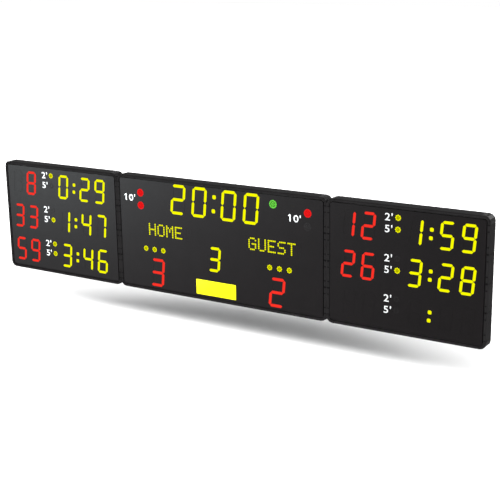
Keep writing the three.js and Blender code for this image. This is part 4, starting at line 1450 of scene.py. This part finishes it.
# The fan of lamps for the floor: their count, how far it reaches aside and leans forward for 1 m of height
FLOOR_LAMPS = 9
FAN_REACH = 2.4
FAN_LEAN = 0.885
FLOOR_LAMP_SPREAD = 24


class SCOREBOARD_OT_stage(bpy.types.Operator):
    """Set the camera, the floor, the background and the lamps"""

    bl_idname = "scoreboard.stage"
    bl_label = "Stage"

    def execute(self, context):
        stage = context.scene.board_stage
        self.camera(context, stage)
        floor = self.floor(stage)
        self.background(context)
        self.board_lamps(floor)
        self.floor_lamps(floor, stage.floor_light)
        context.scene.view_settings.view_transform = "Standard"
        return {"FINISHED"}

    def camera(self, context, stage):
        turn, height, roll = stage.azimuth, stage.elevation, stage.roll
        right = Vector((math.cos(turn), math.sin(turn), 0))
        level = math.cos(height)
        ahead = Vector((-math.sin(turn) * level, math.cos(turn) * level, -math.sin(height)))
        up = right.cross(ahead)
        side = math.cos(roll) * right + math.sin(roll) * up
        top = -math.sin(roll) * right + math.cos(roll) * up
        data = bpy.data.cameras.new("front_camera")
        data.lens = stage.lens
        data.clip_end = CAMERA_REACH
        camera = new_object("front_camera", data)
        place = Matrix.Translation(Vector(stage.aim) - stage.distance * ahead)
        camera.matrix_world = place @ Matrix((side, top, -ahead)).transposed().to_4x4()
        context.scene.camera = camera

    def floor(self, stage):
        """A pale floor that keeps the shadow and meets the white background"""
        height = SOLID_BOUNDS[0][2] - stage.floor_gap
        bm = bmesh.new()
        place = Matrix.Translation((0, 0, height))
        bmesh.ops.create_grid(bm, x_segments=1, y_segments=1, size=FLOOR_HALF_SIZE, matrix=place)
        floor = new_object("studio_floor", new_mesh("studio_floor", bm))
        finish = Finish("pale_floor")
        finish.tree.nodes.remove(finish.shader)
        seen = finish.add("ShaderNodeLightPath").outputs["Is Camera Ray"]
        plain = [
            finish.add("ShaderNodeBsdfDiffuse", Color=(tone, tone, tone, 1.0)).outputs[0]
            for tone in (FLOOR_BOUNCE, FLOOR_TONE)
        ]
        surface = finish.tree.nodes["Material Output"].inputs["Surface"]
        finish.link(finish.mixed(seen, *plain), surface)
        floor.data.materials.append(finish.material)
        return floor

    def background_rays(self, holder):
        """1 for the rays that show a background: camera, glossy and transmission rays"""
        path = holder.add("ShaderNodeLightPath")
        total = path.outputs["Is Camera Ray"]
        for name in ("Is Glossy Ray", "Is Transmission Ray"):
            total = holder.maths("MAXIMUM", total, path.outputs[name])
        return total

    def background(self, context):
        world = bpy.data.worlds.new("white_studio")
        world.use_nodes = True
        context.scene.world = world
        holder = Nodes(world.node_tree)
        whites = [
            holder.add("ShaderNodeBackground", Color=(1, 1, 1, 1), Strength=strength).outputs[0]
            for strength in (WORLD_LIGHT, 1.0)
        ]
        surface = world.node_tree.nodes["World Output"].inputs["Surface"]
        holder.link(holder.mixed(self.background_rays(holder), *whites), surface)

    def board_lamps(self, floor):
        """The lamps of the board: suns for all of it, soft boxes for the doors, a gleam for the corners"""
        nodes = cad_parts.items()
        corners = [solid for name, solid in nodes if name.endswith("_corner")]
        fronts = ("_front_door", "_display")
        others = [solid for name, solid in nodes if not name.endswith(fronts)]
        lamps = [self.sun(name, *numbers) for name, numbers in BOARD_SUNS.items()]
        boxes = [self.soft_box(name, *numbers) for name, numbers in SOFT_BOXES.items()]
        gleam = self.sun("corner_gleam", *CORNER_GLEAM)
        self.restrict(lamps, "all_but_floor", [floor], "EXCLUDE")
        self.restrict(boxes, "fronts_only", [floor, *others], "EXCLUDE")
        self.restrict([gleam], "corners_only", corners, "INCLUDE")

    def restrict(self, lamps, name, objects, state):
        """Lets lamps shine on some objects alone, or on all except them"""
        receivers = bpy.data.collections.new(name)
        for thing in objects:
            receivers.objects.link(thing)
        for entry in receivers.collection_objects:
            entry.light_linking.link_state = state
        for lamp in lamps:
            lamp.light_linking.receiver_collection = receivers

    def floor_lamps(self, floor, light):
        """A fan of lamps in front that light the floor alone and draw the board's soft shadow"""
        lamps = []
        for i in range(FLOOR_LAMPS):
            shift = FAN_REACH * (2 * i / (FLOOR_LAMPS - 1) - 1)
            direction = Vector((shift, -FAN_LEAN, 1)).normalized()
            strength = light * math.pi / (FLOOR_TONE * FLOOR_LAMPS * direction.z)
            lamps.append(self.far_lamp(f"floor_lamp_{i + 1}", direction, strength, FLOOR_LAMP_SPREAD))
        self.restrict(lamps, "floor_only", [floor], "INCLUDE")

    def sun(self, name, azimuth, elevation, strength, spread):
        """A far lamp, placed by its azimuth from the front and its elevation"""
        turn, height = math.radians(azimuth), math.radians(elevation)
        level = math.cos(height)
        direction = Vector((math.sin(turn) * level, -math.cos(turn) * level, math.sin(height)))
        return self.far_lamp(name, direction, strength, spread)

    def far_lamp(self, name, direction, strength, spread):
        data = bpy.data.lights.new(name, "SUN")
        data.energy = strength
        data.angle = math.radians(spread)
        return self.place_lamp(name, data, direction)

    def soft_box(self, name, place, aim, size, power):
        data = bpy.data.lights.new(name, "AREA")
        data.shape = "RECTANGLE"
        data.size, data.size_y = size
        data.energy = power
        data.color = SOFT_BOX_TINT
        data.spread = math.radians(SOFT_BOX_SPREAD)
        lamp = self.place_lamp(name, data, Vector(place) - Vector(aim))
        lamp.location = place
        return lamp

    def place_lamp(self, name, data, direction):
        lamp = new_object(name, data)
        lamp.rotation_mode = "QUATERNION"
        lamp.rotation_quaternion = direction.to_track_quat("Z", "Y")
        return lamp


# Panel and registration

OPERATORS = (
    SCOREBOARD_OT_finishes,
    SCOREBOARD_OT_displays,
    SCOREBOARD_OT_names,
    SCOREBOARD_OT_labels,
    SCOREBOARD_OT_plate,
    SCOREBOARD_OT_shade_clips,
    SCOREBOARD_OT_fittings,
    SCOREBOARD_OT_equipment,
    SCOREBOARD_OT_entry,
    SCOREBOARD_OT_back,
    SCOREBOARD_OT_stage,
)


class SCOREBOARD_PT_steps(bpy.types.Panel):
    """Lists the steps that dress the scoreboard"""

    bl_idname = "SCOREBOARD_PT_steps"
    bl_label = "Scoreboard"
    bl_space_type = "VIEW_3D"
    bl_region_type = "UI"
    bl_category = "Scoreboard"

    def draw(self, context):
        for operator in OPERATORS:
            self.layout.operator(operator.bl_idname)


SETTINGS = {
    "board_content": BoardContent,
    "board_sizes": BoardSizes,
    "board_colours": BoardColours,
    "board_stage": BoardStage,
}

CLASSES = (*SETTINGS.values(), *OPERATORS, SCOREBOARD_PT_steps)


def register():
    for cls in CLASSES:
        bpy.utils.register_class(cls)
    for name, group in SETTINGS.items():
        setattr(bpy.types.Scene, name, bpy.props.PointerProperty(type=group))


def unregister():
    for name in SETTINGS:
        delattr(bpy.types.Scene, name)
    for cls in reversed(CLASSES):
        bpy.utils.unregister_class(cls)


def main():
    register()
    for operator in OPERATORS:
        step = operator.bl_idname.removeprefix("scoreboard.")
        getattr(bpy.ops.scoreboard, step)()


if __name__ == "__main__":
    main()
